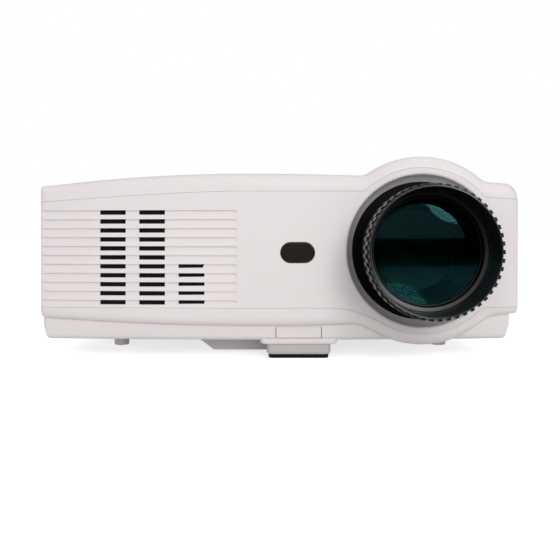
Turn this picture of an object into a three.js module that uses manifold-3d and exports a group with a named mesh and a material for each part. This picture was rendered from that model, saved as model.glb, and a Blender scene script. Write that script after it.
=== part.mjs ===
// A desktop video projector with a large front lens, built as separate pieces.
// Millimetres. X runs to the right of someone facing the lens, Y from front to back, Z up.
// The origin is on the table, in the middle of the box round the whole projector.

import * as THREE from "three";
import { mergeVertices } from "three/addons/utils/BufferGeometryUtils.js";
import Module from "manifold-3d";

// Case
const bodyWidth = 320;
const bodyDepth = 245;
const lensReach = 50;
const wall = 2.5;
const faceBow = 9;
const tubBottom = 12.7;
const lensRise = 59.8;
const crownRise = 51.2;
const crownPeakX = -25;
const crownLeftFall = 8.3;
const crownRightFall = 6.6;
const crownRearFall = 5;
const crownPower = 2;
const topEdgeRadius = 8;
const leftCornerRadius = 4;
const leftCornerDepth = 2;
const rightCornerRadius = 12;
const rightCornerDepth = 5;
const leftTopRadius = 1.5;
const rightTopRadius = 8;
const lipRise = 9.8;
const lipLowX = -15;
const lipLeftRise = 5;
const lipRightRise = 7.6;
const lipEdgeRadius = 2;
const tubHeight = 33;
const tubLeftInset = 0.3;
const tubRightInset = 5;
const tubFrontInset = 6;
const tubRearInset = 6;
const tubCornerRadius = 6;
const tubEdgeRadius = 4;
const tubDraft = 1.7;
const faceStepCount = 8;
const leftStepCount = 2;
const cornerStepCount = 3;

// Clearances and helpers shared by all pieces
const fitGap = 0.3;
const overrun = 5;
const smallestRadius = 0.3;
const mergeDistance = 0.0001;
const embed = 0.5;
const quarterTurn = 90;
const halfTurn = 180;
const fullTurn = 360;

// Lens
const mountTubeRadius = 38.9;
const mountTubeWall = 1.6;
const mountTubeGap = 0.5;
const ringWall = 1.85;
const toothHeight = 1.15;
const ringRimStep = 0.65;
const ringRimInset = 0.4;
const ringBore = mountTubeRadius + fitGap;
const ringRootRadius = ringBore + ringWall;
const ringTipRadius = ringRootRadius + toothHeight;
const ringRimRadius = ringRootRadius - ringRimStep;
const ringRimInner = ringBore + ringRimInset;
const ringBevel = 1;
const ringRearGap = 1.5;
const hoodDepth = 29;
const hoodThroatInset = 2.9;
const hoodThroatRadius = mountTubeRadius - hoodThroatInset;
const hoodShoulder = 2.5;
const toothCount = 50;
const toothRootShare = 0.3;
const toothTipShare = 0.2;
const toothRowLength = 9.5;
const toothRowRearLength = 11.5;
const toothRowGap = 1;
const toothRowTurnShare = 0.5;
const beadHeight = 0.9;
const beadLength = 2;
const beadFromRingEnd = 3;
const mountFlangeWidth = 10.1;
const mountFlangeRadius = mountTubeRadius + mountFlangeWidth;
const mountFlangeThickness = 4.2;
const lensSideCount = 32;
const barrelRadius = mountTubeRadius - mountTubeWall - fitGap;
const barrelWall = 3;
const barrelLength = 58;
const barrelFrontGap = 1;
const frontLensRim = 1.8;
const frontLensRadius = barrelRadius - frontLensRim;
const frontLensEdge = 3;
const frontLensCrown = 4.2;
const frontLensBack = 2.5;
const lensStepCount = 3;
const seatGap = 0.3;
const seatLip = 1.5;
const retainerLength = 2;
const retainerWidth = 1;
const rearLensInset = 10;
const rearLensRadius = barrelRadius - rearLensInset;
const rearLensEdge = 4;
const rearLensCrown = 4;
const keyWidth = 4;
const keyHeight = 1.1;
const keyLength = 8;
const keySetback = 3;
const focusTravel = 8;

// Hump over the lens
const lensFromRight = 65.5;
const mouthMargin = 8.8;
const humpMargin = 11.8;
const lensX = bodyWidth / 2 - lensFromRight;
const mouthRadius = ringTipRadius + mouthMargin;
const humpRadius = mouthRadius + humpMargin;
const humpSetback = 0.2;
const humpStraight = 70;
const humpFade = 110;
const humpShrink = 18.8;
const humpEndRadius = humpRadius - humpShrink;
const humpFadeShares = [0, 0.4, 0.75, 1];
const humpSideCount = 32;

// Parting lines between the shells
const partingGap = 0.3;
const partingPower = 1.4;
const upperPartingDrop = 11.9;
const upperPartingFlatFrom = -28;
const upperPartingFlatReach = 37.5;
const upperPartingFlatTo = lensX - upperPartingFlatReach;
const upperPartingLeftFall = 7;
const upperPartingRightFall = 5.3;
const upperStepCount = 8;
const upperEndStepCount = 3;
const lowerPartingRise = 22.1;
const bezelMargin = 4;
const bezelRadius = mouthRadius + bezelMargin;
const bezelStepCount = 12;
const bezelLeftFillet = 62;
const bezelLeftStepCount = 5;
const bezelRightFillet = 8;
const frontZoneDepth = 6.6;
const bezelWrap = 27.5;
const rearWrap = 17.5;

// Ridges and vent slots of the bezel
const ridgeCount = 11;
const ridgePitch = 5.94;
const ridgeTopDrop = 24.6;
const ridgeDepth = 0.9;
const ridgeSlopeHeight = 4.4;
const ridgeEndX = -28.7;
const slotHeight = 3.05;
const slotLength = 17;
const slotColumnPitch = 26.1;
const slotFromLeft = 41;
const slotFirstX = slotFromLeft - bodyWidth / 2;
const slotColumnCount = 3;
const slotShortRowCount = 5;

// Lens mouth
const mouthTaper = 4;
const mouthThroatRadius = mouthRadius - mouthTaper;
const mouthDepth = 9;
const mouthWall = 2;
const mouthBevel = 1.2;
const mouthSideCount = 32;

// Infrared window and receiver
const windowFromLens = 82.9;
const windowX = lensX - windowFromLens;
const windowDrop = 1.2;
const windowWidth = 23.1;
const windowHeight = 14.1;
const windowFlange = 1.5;
const windowFlangeThickness = 1;
const windowEndStepCount = 6;
const receiverSize = 6.6;
const receiverDepth = 4;
const receiverBoardWidth = 40;
const receiverBoardHeight = 16;
const receiverBoardSetback = 10;
const boardThickness = 1.6;
const pegRadius = 2;
const pegInset = 3;

// Light tunnel and fold mirror
const tunnelMargin = 3;
const tunnelWall = 2;
const tunnelReach = 86.5;
const tunnelHalfDepth = 60;
const lensArmMargin = 6;
const lensArmHalfWidth = barrelRadius + lensArmMargin;
const boardClearance = 4;
const mirrorThickness = 2;
const tunnelPostRadius = 4;
const tunnelPostInset = 8;

// Panel stack and condenser
const panelThickness = 4;
const panelRecess = 1;
const panelBorder = 6;
const fresnelThickness = 2;
const coneWall = 2;
const lampBlockSize = 64;
const lampBlockLength = 32;
const lampBore = 27;
const lampSideCount = 20;
const condenserRadius = 26.5;
const condenserCrown = 10;
const condenserEdge = 4;
const condenserSetback = 12;
const ledSize = 30;
const ledThickness = 3;
const emitterRadius = 9;
const emitterHeight = 1;
const emitterSideCount = 10;

// Heatsink
const heatsinkSize = 72;
const heatsinkBase = 6;
const finLength = 34;
const finCount = 11;
const finShare = 0.3;

// Fans
const fanThickness = 15;
const fanWallGap = 3.5;
const finGap = 1;
const sideFanSize = 72;
const frontFanSize = 70;
const frontFanFromLeft = 76;
const frontFanX = frontFanFromLeft - bodyWidth / 2;
const frontFanDrop = 5.5;
const frontFanSetback = 6.5;
const fanRim = 2;
const fanSideCount = 24;
const fanHubRadius = 15;
const fanBladeGap = 1;
const fanBladeCount = 7;
const fanBladeChord = 15;
const fanBladeThickness = 1.2;
const fanBladePitch = 38;
const fanBackThickness = 2.5;
const fanStrutCount = 4;
const fanStrutWidth = 4;
const fanPinRadius = 2;
const fanRotorInset = 1.5;

// Boards
const powerBoardLength = 96;
const powerBoardDepth = 58;
const powerBoardStandoff = 6;
const powerBoardBack = 25.5;
const powerBoardSide = 22;
const transformerLength = 32;
const transformerDepth = 28;
const transformerHeight = 25;
const transformerCoreShare = 0.55;
const transformerOut = 2.5;
const transformerPlaceShare = 0.67;
const capacitorRadius = 11;
const capacitorHeight = 32;
const capacitorBevel = 1.5;
const capacitorPlaceShare = 0.25;
const capacitorSideCount = 14;
const sinkPlateThickness = 2.5;
const sinkPlateHeight = 28;
const sinkPlateLength = 40;
const mainBoardLength = 150;
const mainBoardHeight = 72;
const mainBoardFromRight = 30;
const mainBoardRightX = bodyWidth / 2 - mainBoardFromRight;
const mainBoardRise = 22;
const chipSize = 22;
const chipHeight = 2.2;
const chipPlaces = [[0.3, 0.6], [0.62, 0.3]];

// Speaker
const speakerRadius = 25;
const speakerFlange = 2.5;
const speakerConeDepth = 9;
const speakerMagnetRadius = 14;
const speakerMagnetDepth = 9;
const speakerDish = 4;
const speakerBack = 72.5;
const speakerRise = 60;
const speakerSideCount = 18;

// Keypad on the top
const panelFromLens = 119.5;
const panelX = lensX - panelFromLens;
const panelBack = 117.5;
const panelLength = 96;
const panelDepth = 42;
const panelPlate = 1;
const panelFloor = 2;
const panelSink = 3;
const panelCornerRadius = 8;
const keyGap = 0.35;
const keyProud = 1;
const keyTravel = 0.7;
const keyFlange = 1;
const keyFlangeHeight = 1.2;
const keyFlangeGap = 0.5;
const keyBoardGap = 0.4;
const keySideCount = 12;
const okKeyRadius = 5.5;
const arrowKeyRadius = 4;
const arrowKeyReach = 12.5;
const powerKeyRadius = 5;
const powerKeyReach = 34;
const sideKeyRadius = 4;
const sideKeyReach = 32;
const sideKeySpread = 7.5;
const keypadPostRadius = 3;

// Rear sockets
const bayFromRight = 24;
const bayLength = 128;
const bayRight = bodyWidth / 2 - bayFromRight;
const bayLeft = bayRight - bayLength;
const bayRise = 27;
const bayHeight = 56;
const bayDepth = 8;
const bayWall = 2;
const socketBodyDepth = 8;
const lowerSocketRise = 14;
const upperSocketRise = 40;
const hdmiFromBayEnd = 18;
const hdmiX = bayRight - hdmiFromBayEnd;
const hdmiWidth = 15.6;
const hdmiHeight = 7;
const hdmiMouthWidth = 14;
const hdmiMouthHeight = 4.6;
const hdmiMouthSlant = 1.5;
const tongueThickness = 1.4;
const tongueShortfall = 1.5;
const tongueSideGap = 1.5;
const socketMouthDepth = 8;
const usbFromBayEnd = 43;
const usbX = bayRight - usbFromBayEnd;
const usbWidth = 14.6;
const usbHeight = 16;
const usbMouthWidth = 12.6;
const usbMouthHeight = 5.2;
const usbMouthSpread = 3.7;
const vgaFromBayEnd = 76;
const vgaX = bayRight - vgaFromBayEnd;
const vgaWidth = 31;
const vgaHeight = 12.6;
const vgaShellWidth = 17;
const vgaShellHeight = 8.4;
const vgaShellSlant = 1.4;
const vgaShellLength = 5.5;
const vgaShellWall = 0.8;
const vgaNutReach = 12.5;
const vgaNutRadius = 2.4;
const vgaNutLength = 4;
const vgaNutSideCount = 6;
const avFromBayEnd = 74;
const avX = bayRight - avFromBayEnd;
const avPitch = 14;
const avJackCount = 3;
const avHeight = 12;
const avBarrelRadius = 4.2;
const avBarrelLength = 7.5;
const avBoreRadius = 1.7;
const headphoneFromBayEnd = 24;
const headphoneX = bayRight - headphoneFromBayEnd;
const headphoneSize = 10;
const headphoneBarrelRadius = 3.6;
const headphoneBarrelLength = 1.5;
const headphoneBoreRadius = 1.8;
const jackSideCount = 10;

// Power inlet and rocker switch
const inletFromLeft = 40;
const inletX = inletFromLeft - bodyWidth / 2;
const inletRise = 54;
const inletSink = 1.8;
const inletWidth = 28;
const inletHeight = 50;
const inletDepth = 18;
const inletFlange = 1.5;
const inletFlangeThickness = 1.2;
const inletFrame = 3;
const inletMouthWidth = 23;
const inletMouthHeight = 15.5;
const inletMouthDepth = 15;
const inletMouthDrop = 12;
const inletPinWidth = 2;
const inletPinHeight = 4;
const inletPinLength = 13;
const inletPinReach = 7;
const inletEarthRise = 3.5;
const rockerWidth = 13;
const rockerLength = 22;
const rockerRise = 12;
const rockerRidge = 4.4;
const rockerValley = 3.4;
const rockerBack = 4;
const rockerTilt = 9;
const rockerPocketDepth = 12;
const rockerPocketGap = 1;
const rockerPinRadius = 1.5;
const rockerPinReach = 1.6;
const rockerPivotSetback = 4.5;

// Vents in the rear panel and the side grilles
const ventWidth = 2.8;
const ventPitch = 7;
const rearVentCount = 8;
const rearVentHeight = 44;
const rearVentFromInlet = 52;
const rearVentX = inletX + rearVentFromInlet;
const sideVentCount = 14;
const sideVentHeight = 50;
const speakerVentCount = 5;
const speakerVentHeight = 36;
const leftVentBack = 159.4;
const rightVentBack = 130;

// Elevator foot and its release button
const legFromLens = 82;
const legX = lensX - legFromLens;
const legWidth = 43;
const legDepth = 20;
const legSetback = 19.5;
const legLength = 57.5;
const legWall = 2;
const legCornerRadius = 3;
const padHeight = 2.6;
const padInset = 1.3;
const legStopHeight = 2;
const legStopReach = 2.5;
const legStopWidth = 8;
const collarDrop = 3;
const collarMarginX = 4;
const collarMarginY = 2.5;
const collarChamfer = 2.7;
const guideWall = 2.2;
const guideHeight = 14;
const rackPitch = 3;
const rackToothCount = 12;
const rackDepth = 1;
const rackWidth = 5;
const latchTravel = 2;
const latchWidth = 30;
const latchRise = 1.6;
const latchHeight = 7.4;
const latchNeckWidth = 8;
const latchNeckHeight = 4.5;
const latchHeadWidth = 20;
const latchHeadThickness = 2;
const latchToothGap = 0.4;
const latchSlotFoot = 10;
const latchSlotLength = 38;

// Feet, filter cover and screws
const footRadius = 5.5;
const footBevel = 0.8;
const footPinRadius = 2.5;
const footPinLength = 4;
const footSideCount = 12;
const footFromSide = 40;
const footX = bodyWidth / 2 - footFromSide;
const frontFootBack = 86.5;
const rearFootFront = 27.5;
const filterLength = 96;
const filterFromLeg = 21.5;
const filterRightX = legX + filterFromLeg;
const filterLeftX = filterRightX - filterLength;
const filterBack = 44.5;
const filterDepth = 98;
const filterSlope = 15;
const filterClearance = 1.5;
const filterWall = 2;
const filterSlotCount = 6;
const filterSlotWidth = 3;
const filterSlotPitch = 8;
const intakeWidth = 38;
const intakeDepth = 40;
const intakeFromFilterEnd = 54;
const intakeX = filterRightX - intakeFromFilterEnd;
const intakeBack = 75;
const screwFromSide = 14.5;
const screwX = bodyWidth / 2 - screwFromSide;
const screwFrontBack = 37.5;
const screwRearFront = 27.5;
const screwHeadRadius = 3.4;
const screwHeadHeight = 2;
const screwShaftRadius = 1.5;
const screwShaftLength = 48;
const screwSlotWidth = 0.9;
const screwSlotDepth = 1;
const screwSideCount = 8;
const postRadius = 5.5;
const topPostRadius = 4.5;
const postRise = 47;

// Places worked out from the sizes above
const halfWidth = bodyWidth / 2;
const mouthPlane = lensReach - (bodyDepth + lensReach) / 2;
const rearPlane = mouthPlane + bodyDepth;
const lensHeight = tubBottom + lensRise;
const crownHeight = lensHeight + crownRise;
const lipHeight = tubBottom + lipRise;
const floorTop = tubBottom + wall;
const upperPartingCrest = crownHeight - upperPartingDrop;
const lowerParting = tubBottom + lowerPartingRise;
const skyLevel = lensHeight + humpRadius + overrun;
const bezelEnd = mouthPlane + bezelWrap;
const rearPanelStart = rearPlane - rearWrap;
const rimPlane = mouthPlane - lensReach;
const flangePlane = mouthPlane + mouthDepth + fitGap;
const tunnelFront = flangePlane + mountFlangeThickness;
const hoodFloor = rimPlane + hoodDepth + hoodShoulder;
const ringEnd = mouthPlane + mouthDepth - ringRearGap;
const barrelFront = hoodFloor + barrelFrontGap;
const bayFloor = rearPlane - bayDepth;
const bayBottom = tubBottom + bayRise;
const mainBoardFace = bayFloor - bayWall - socketBodyDepth;
const socketReach = bayFloor - mainBoardFace;
const mainBoardFront = mainBoardFace - boardThickness;
const tunnelRear = mainBoardFront - boardClearance;
const mirrorY = tunnelRear - tunnelHalfDepth;
const tunnelHalfHeight = barrelRadius + tunnelMargin;
const tunnelBottom = lensHeight - tunnelHalfHeight;
const tunnelStart = lensX - tunnelReach;
const panelHalfDepth = tunnelHalfDepth - tunnelWall;
const panelHalfHeight = tunnelHalfHeight - tunnelWall - embed * 2;
const panelFace = tunnelStart - fitGap - panelThickness;
const fresnelFace = panelFace - fitGap - fresnelThickness;
const sideFanStart = -halfWidth + wall + fanWallGap;
const finStart = sideFanStart + fanThickness + finGap;
const sinkFace = finStart + finLength + heatsinkBase;
const lampBlockEnd = sinkFace + fitGap + lampBlockLength;
const legY = mouthPlane + legSetback;
const collarBottom = tubBottom - collarDrop;
const guideTop = tubBottom + guideHeight;
const latchBottom = tubBottom + latchRise;
const panelY = mouthPlane + panelBack;
const panelTop = crownHeight - panelSink;
const pocketFloor = panelTop - panelPlate;
const pocketUnderside = pocketFloor - panelFloor;
const keyFlangeTop = pocketUnderside - keyFlangeGap;
const keyBottom = keyFlangeTop - keyFlangeHeight;
const keypadBoardTop = keyBottom - keyTravel - keyBoardGap;
const postTop = tubBottom + postRise;
const filterBottom = filterClearance;
const powerBoardLeft = -halfWidth + powerBoardSide;
const powerBoardFront = mouthPlane + powerBoardBack;
const powerBoardUnderside = floorTop + powerBoardStandoff;
const frontFanFace = mouthPlane + frontFanSetback;
const frontFanHeight = lensHeight - frontFanDrop;
const receiverBoardFace = faceAt(windowX) + receiverBoardSetback;
const windowHeightLevel = lensHeight - windowDrop;
const frontFootY = mouthPlane + frontFootBack;
const rearFootY = rearPlane - rearFootFront;
const mainBoardBottom = tubBottom + mainBoardRise;

// Materials
const shellWhite = plastic(0xe4dddc, 0.45);
const blackPlastic = plastic(0x101112, 0.4);
const darkPlastic = plastic(0x1b1d20, 0.55);
const rubberBlack = plastic(0x141414, 0.9);
const footGrey = plastic(0xc6bbbf, 0.8);
const smokedPlastic = plastic(0x1a1512, 0.15);
const lensGlass = plastic(0x0d1c1d, 0.05);
const clearGlass = plastic(0xbfd2d6, 0.08);
const mirrorSilver = metal(0xd8dde0, 0.08);
const plainSteel = metal(0xa7aaad, 0.35);
const aluminium = metal(0xc2c4c6, 0.4);
const boardGreen = plastic(0x1d5a38, 0.5);
const keyGrey = plastic(0xb9b6b5, 0.5);
const ledYellow = plastic(0xe3c64a, 0.4);
const windingCopper = metal(0x9c5b32, 0.45);

function plastic(color, roughness) {
  return new THREE.MeshStandardMaterial({ color, roughness, metalness: 0 });
}

function metal(color, roughness) {
  return new THREE.MeshStandardMaterial({ color, roughness, metalness: 1 });
}

// Solids

const wasm = await Module();
wasm.setup();

// A closed three.js geometry as a solid that can be joined and cut, its faces turned outwards.
function solidOf(geometry) {
  const bare = new THREE.BufferGeometry();
  bare.setAttribute("position", geometry.getAttribute("position"));
  if (geometry.index) bare.setIndex(geometry.index);
  const merged = mergeVertices(bare, mergeDistance);
  const points = merged.getAttribute("position").array;
  const corners = merged.index.array;
  const kept = [];
  let volume = 0;
  for (let i = 0; i < corners.length; i += 3) {
    const [a, b, c] = [corners[i], corners[i + 1], corners[i + 2]];
    if (a === b || b === c || c === a) continue;
    kept.push(a, b, c);
    volume += tripleProduct(points, a, b, c);
  }
  if (volume < 0) kept.reverse();
  const mesh = new wasm.Mesh({
    numProp: 3,
    vertProperties: new Float32Array(points),
    triVerts: new Uint32Array(kept),
  });
  return new wasm.Manifold(mesh);
}

function tripleProduct(points, a, b, c) {
  const [p, q, r] = [a, b, c].map((k) => new THREE.Vector3().fromArray(points, k * 3));
  return p.dot(q.cross(r));
}

function geometryOf(solid) {
  const mesh = solid.getMesh();
  const geometry = new THREE.BufferGeometry();
  geometry.setAttribute("position", new THREE.BufferAttribute(mesh.vertProperties, 3));
  geometry.setIndex(new THREE.BufferAttribute(mesh.triVerts, 1));
  geometry.computeVertexNormals();
  return geometry;
}

function piece(parent, name, solid, material) {
  const mesh = new THREE.Mesh(geometryOf(solid), material.clone());
  mesh.name = name;
  parent.add(mesh);
  return mesh;
}

function groupAt(parent, x, y, z) {
  const group = new THREE.Group();
  group.position.set(x, y, z);
  parent.add(group);
  return group;
}

function joined(solids) {
  return solids.reduce((whole, solid) => whole.add(solid));
}

function without(solid, cuts) {
  return cuts.reduce((left, cut) => left.subtract(cut), solid);
}

function moved(solid, x, y, z) {
  return solidOf(geometryOf(solid).translate(x, y, z));
}

function degrees(angle) {
  return (angle * Math.PI) / halfTurn;
}

// A box from its lowest to its highest corner.
function block(x0, x1, y0, y1, z0, z1) {
  const geometry = new THREE.BoxGeometry(x1 - x0, y1 - y0, z1 - z0);
  return solidOf(geometry.translate((x0 + x1) / 2, (y0 + y1) / 2, (z0 + z1) / 2));
}

// Turned solids, from [radius, place] points that start and end on the axis or go round a section.
function lathe(profile, sides) {
  const ends = profile[0][0] === 0 ? [] : [profile[0]];
  const points = [...profile, ...ends].map(([radius, place]) => new THREE.Vector2(radius, place));
  return new THREE.LatheGeometry(points, sides);
}

function turnedAboutY(profile, sides) {
  return solidOf(lathe(profile, sides));
}

function turnedAboutZ(profile, sides) {
  return solidOf(lathe(profile, sides).rotateX(degrees(quarterTurn)));
}

function turnedAboutX(profile, sides) {
  return solidOf(lathe(profile, sides).rotateZ(degrees(-quarterTurn)));
}

// Full cylinders standing up, lying front to back, and lying across.
function uprightRod(x, y, radius, z0, z1, sides) {
  const rod = new THREE.CylinderGeometry(radius, radius, z1 - z0, sides);
  return solidOf(rod.rotateX(degrees(quarterTurn)).translate(x, y, (z0 + z1) / 2));
}

function levelRod(x, z, radius, y0, y1, sides) {
  const rod = new THREE.CylinderGeometry(radius, radius, y1 - y0, sides);
  return solidOf(rod.translate(x, (y0 + y1) / 2, z));
}

function crossRod(y, z, radius, x0, x1, sides) {
  const rod = new THREE.CylinderGeometry(radius, radius, x1 - x0, sides);
  return solidOf(rod.rotateZ(degrees(quarterTurn)).translate((x0 + x1) / 2, y, z));
}

// An outline carried from one place to another, each of its points put in space by a rule.
function prism(outline, from, to, pointAt) {
  const shape = new THREE.Shape(outline.map(([u, v]) => new THREE.Vector2(u, v)));
  const geometry = new THREE.ExtrudeGeometry(shape, { depth: 1, bevelEnabled: false });
  const points = geometry.getAttribute("position");
  for (let i = 0; i < points.count; i++) {
    const place = points.getZ(i) > 0 ? to : from;
    points.setXYZ(i, ...pointAt(points.getX(i), points.getY(i), place));
  }
  return solidOf(geometry);
}

// Outlines of [x, z] points seen from the front, [x, y] from above, and [y, z] from the side.
function frontPrism(outline, y0, y1) {
  return prism(outline, y0, y1, (u, v, place) => [u, place, v]);
}

function planPrism(outline, z0, z1) {
  return prism(outline, z0, z1, (u, v, place) => [u, v, place]);
}

function sidePrism(outline, x0, x1) {
  return prism(outline, x0, x1, (u, v, place) => [place, u, v]);
}

// A closed skin through rings of [x, y, z] points, each ring with as many points, its ends capped by fans.
function skin(rings) {
  const count = rings[0].length;
  const positions = rings.flat(2);
  const faces = [];
  for (let k = 0; k + 1 < rings.length; k++) {
    for (let i = 0; i < count; i++) {
      const [a, b] = [k * count + i, k * count + ((i + 1) % count)];
      faces.push(a, b, b + count, a, b + count, a + count);
    }
  }
  for (const k of [0, rings.length - 1]) {
    const middle = positions.length / 3;
    positions.push(...centreOf(rings[k]));
    for (let i = 0; i < count; i++) {
      const [a, b] = [k * count + i, k * count + ((i + 1) % count)];
      faces.push(...(k > 0 ? [middle, a, b] : [middle, b, a]));
    }
  }
  const geometry = new THREE.BufferGeometry();
  geometry.setAttribute("position", new THREE.Float32BufferAttribute(positions, 3));
  geometry.setIndex(faces);
  return solidOf(geometry);
}

function centreOf(ring) {
  const total = ring.reduce((sum, point) => sum.map((value, k) => value + point[k]), [0, 0, 0]);
  return total.map((value) => value / ring.length);
}

// Points of an arc from one angle to another, both in degrees.
function arc(cx, cy, radius, from, to, stepCount) {
  const points = [];
  for (let i = 0; i <= stepCount; i++) {
    const angle = degrees(from + ((to - from) * i) / stepCount);
    points.push([cx + radius * Math.cos(angle), cy + radius * Math.sin(angle)]);
  }
  return points;
}

function circle(cx, cy, radius, sideCount) {
  return arc(cx, cy, radius, 0, fullTurn, sideCount).slice(1);
}

function roundedBox(x0, x1, y0, y1, radius) {
  const [left, right] = [x0 + radius, x1 - radius];
  const [low, high] = [y0 + radius, y1 - radius];
  return [
    ...arc(right, high, radius, 0, quarterTurn, cornerStepCount),
    ...arc(left, high, radius, quarterTurn, halfTurn, cornerStepCount),
    ...arc(left, low, radius, halfTurn, halfTurn + quarterTurn, cornerStepCount),
    ...arc(right, low, radius, -quarterTurn, 0, cornerStepCount),
  ];
}

// Curves of the case

function faceAt(x) {
  return mouthPlane + (faceBow * (x * x - lensX * lensX)) / (halfWidth * halfWidth);
}

// A level that is flat between two places and falls towards each end of the case.
function arch(x, flatFrom, flatTo, crest, leftFall, rightFall, power) {
  if (x < flatFrom) return crest - leftFall * ((flatFrom - x) / (flatFrom + halfWidth)) ** power;
  if (x > flatTo) return crest - rightFall * ((x - flatTo) / (halfWidth - flatTo)) ** power;
  return crest;
}

function crownAt(x) {
  return arch(x, crownPeakX, crownPeakX, crownHeight, crownLeftFall, crownRightFall, crownPower);
}

function lipAt(x) {
  return arch(x, lipLowX, lipLowX, lipHeight, -lipLeftRise, -lipRightRise, crownPower);
}

function upperPartingAt(x) {
  const [from, to] = [upperPartingFlatFrom, upperPartingFlatTo];
  const inside = Math.min(Math.max(x, -halfWidth), halfWidth);
  const [leftFall, rightFall] = [upperPartingLeftFall, upperPartingRightFall];
  return arch(inside, from, to, upperPartingCrest, leftFall, rightFall, partingPower);
}

function crownFallAt(y) {
  return crownRearFall * ((y - mouthPlane) / bodyDepth) ** crownPower;
}

function shrunk(radius, inward) {
  return Math.max(radius - inward, smallestRadius);
}

// How far a rounded end draws a surface in, at a distance from that end.
function roundingAt(distance, radius) {
  const share = Math.max(1 - distance / radius, 0);
  return radius * (1 - Math.sqrt(Math.max(1 - share * share, 0)));
}

// How far the upright corners of the case draw its front in, at a distance from each end.
function cornerInsetAt(fromLeft, fromRight, inward) {
  const [leftRadius, rightRadius] = [shrunk(leftCornerRadius, inward), shrunk(rightCornerRadius, inward)];
  const left = roundingAt(fromLeft, leftRadius) * (shrunk(leftCornerDepth, inward) / leftRadius);
  const right = roundingAt(fromRight, rightRadius) * (shrunk(rightCornerDepth, inward) / rightRadius);
  return left + right;
}

// Places from an end of the case inwards, spaced to follow a rounded corner.
function cornerPlaces(end, radius, stepCount) {
  const places = [];
  for (let i = 0; i <= stepCount; i++) {
    places.push(end + radius * (1 - Math.cos(degrees((quarterTurn * i) / stepCount))));
  }
  return places;
}

function placesBetween(from, to, stepCount) {
  const places = [];
  for (let i = 1; i < stepCount; i++) places.push(from + ((to - from) * i) / stepCount);
  return places;
}

// Blocks of the case, each drawn in by a distance so that the same code makes the cavity

function caseBlock(inward) {
  const [left, right] = [-halfWidth + inward, halfWidth - inward];
  const leftCorner = shrunk(leftCornerRadius, inward);
  const rightCorner = shrunk(rightCornerRadius, inward);
  const places = [
    ...cornerPlaces(left, leftCorner, leftStepCount),
    ...placesBetween(left + leftCorner, right - rightCorner, faceStepCount),
    ...cornerPlaces(right, -rightCorner, cornerStepCount).reverse(),
  ];
  return skin(places.map((x) => caseSection(x, inward, x - left, right - x)));
}

function caseSection(x, inward, fromLeft, fromRight) {
  const cornerInset = cornerInsetAt(fromLeft, fromRight, inward);
  const topDrop = roundingAt(fromLeft, shrunk(leftTopRadius, inward))
    + roundingAt(fromRight, shrunk(rightTopRadius, inward));
  const edge = shrunk(topEdgeRadius, inward);
  const lipEdge = shrunk(lipEdgeRadius, inward);
  const front = faceAt(x) + inward + cornerInset;
  const back = rearPlane - inward - cornerInset;
  const middle = (front + back) / 2;
  const top = crownAt(x) - inward - topDrop;
  const bottom = lipAt(x) + inward;
  const outline = [
    [front + lipEdge, bottom],
    [front, bottom + lipEdge],
    ...arc(front + edge, top - edge, edge, halfTurn, quarterTurn, cornerStepCount),
    [middle, top - crownFallAt(middle)],
    ...arc(back - edge, top - crownRearFall - edge, edge, quarterTurn, 0, cornerStepCount),
    [back, bottom + lipEdge],
    [back - lipEdge, bottom],
  ];
  return outline.map(([y, z]) => [x, y, z]);
}

// A ring round the lens axis whose depth can follow the bowed face.
function lensRing(radius, sideCount, depthAt) {
  return circle(lensX, lensHeight, radius, sideCount).map(([x, z]) => [x, depthAt(x), z]);
}

function humpBlock(inward) {
  const edge = shrunk(topEdgeRadius, inward);
  const radius = humpRadius - inward;
  const rings = [];
  for (let i = 0; i <= cornerStepCount; i++) {
    const angle = degrees((quarterTurn * i) / cornerStepCount);
    const setback = humpSetback + inward + edge * (1 - Math.cos(angle));
    rings.push(lensRing(radius - edge * (1 - Math.sin(angle)), humpSideCount, (x) => faceAt(x) + setback));
  }
  for (const share of humpFadeShares) {
    const place = mouthPlane + humpStraight + humpFade * share;
    const fade = (humpRadius - humpEndRadius) * share * share;
    rings.push(lensRing(radius - fade, humpSideCount, () => place));
  }
  return skin(rings);
}

function tubRing(inset, z) {
  const [left, right] = [-halfWidth + tubLeftInset + inset, halfWidth - tubRightInset - inset];
  const radius = shrunk(tubCornerRadius, inset);
  const back = rearPlane - tubRearInset - inset;
  const places = [
    ...cornerPlaces(left, radius, cornerStepCount),
    ...placesBetween(left + radius, right - radius, faceStepCount),
    ...cornerPlaces(right, -radius, cornerStepCount).reverse(),
  ];
  const outline = places.map((x) => {
    const corner = roundingAt(x - left, radius) + roundingAt(right - x, radius);
    return [x, faceAt(x) + tubFrontInset + inset + corner];
  });
  outline.push(...arc(right - radius, back - radius, radius, 0, quarterTurn, cornerStepCount));
  outline.push(...arc(left + radius, back - radius, radius, quarterTurn, halfTurn, cornerStepCount));
  return outline.map(([x, y]) => [x, y, z]);
}

function tubBlock(inward) {
  const edge = shrunk(tubEdgeRadius, inward);
  const [centre, rise] = [inward + tubDraft + edge, tubBottom + inward + edge];
  const corner = arc(centre, rise, edge, -quarterTurn, -halfTurn, cornerStepCount);
  return skin([
    ...corner.map(([inset, z]) => tubRing(inset, z)),
    tubRing(inward, tubBottom + lipRise),
    tubRing(inward, tubBottom + tubHeight),
  ]);
}

// Regions of the shells, by their parting lines

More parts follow.
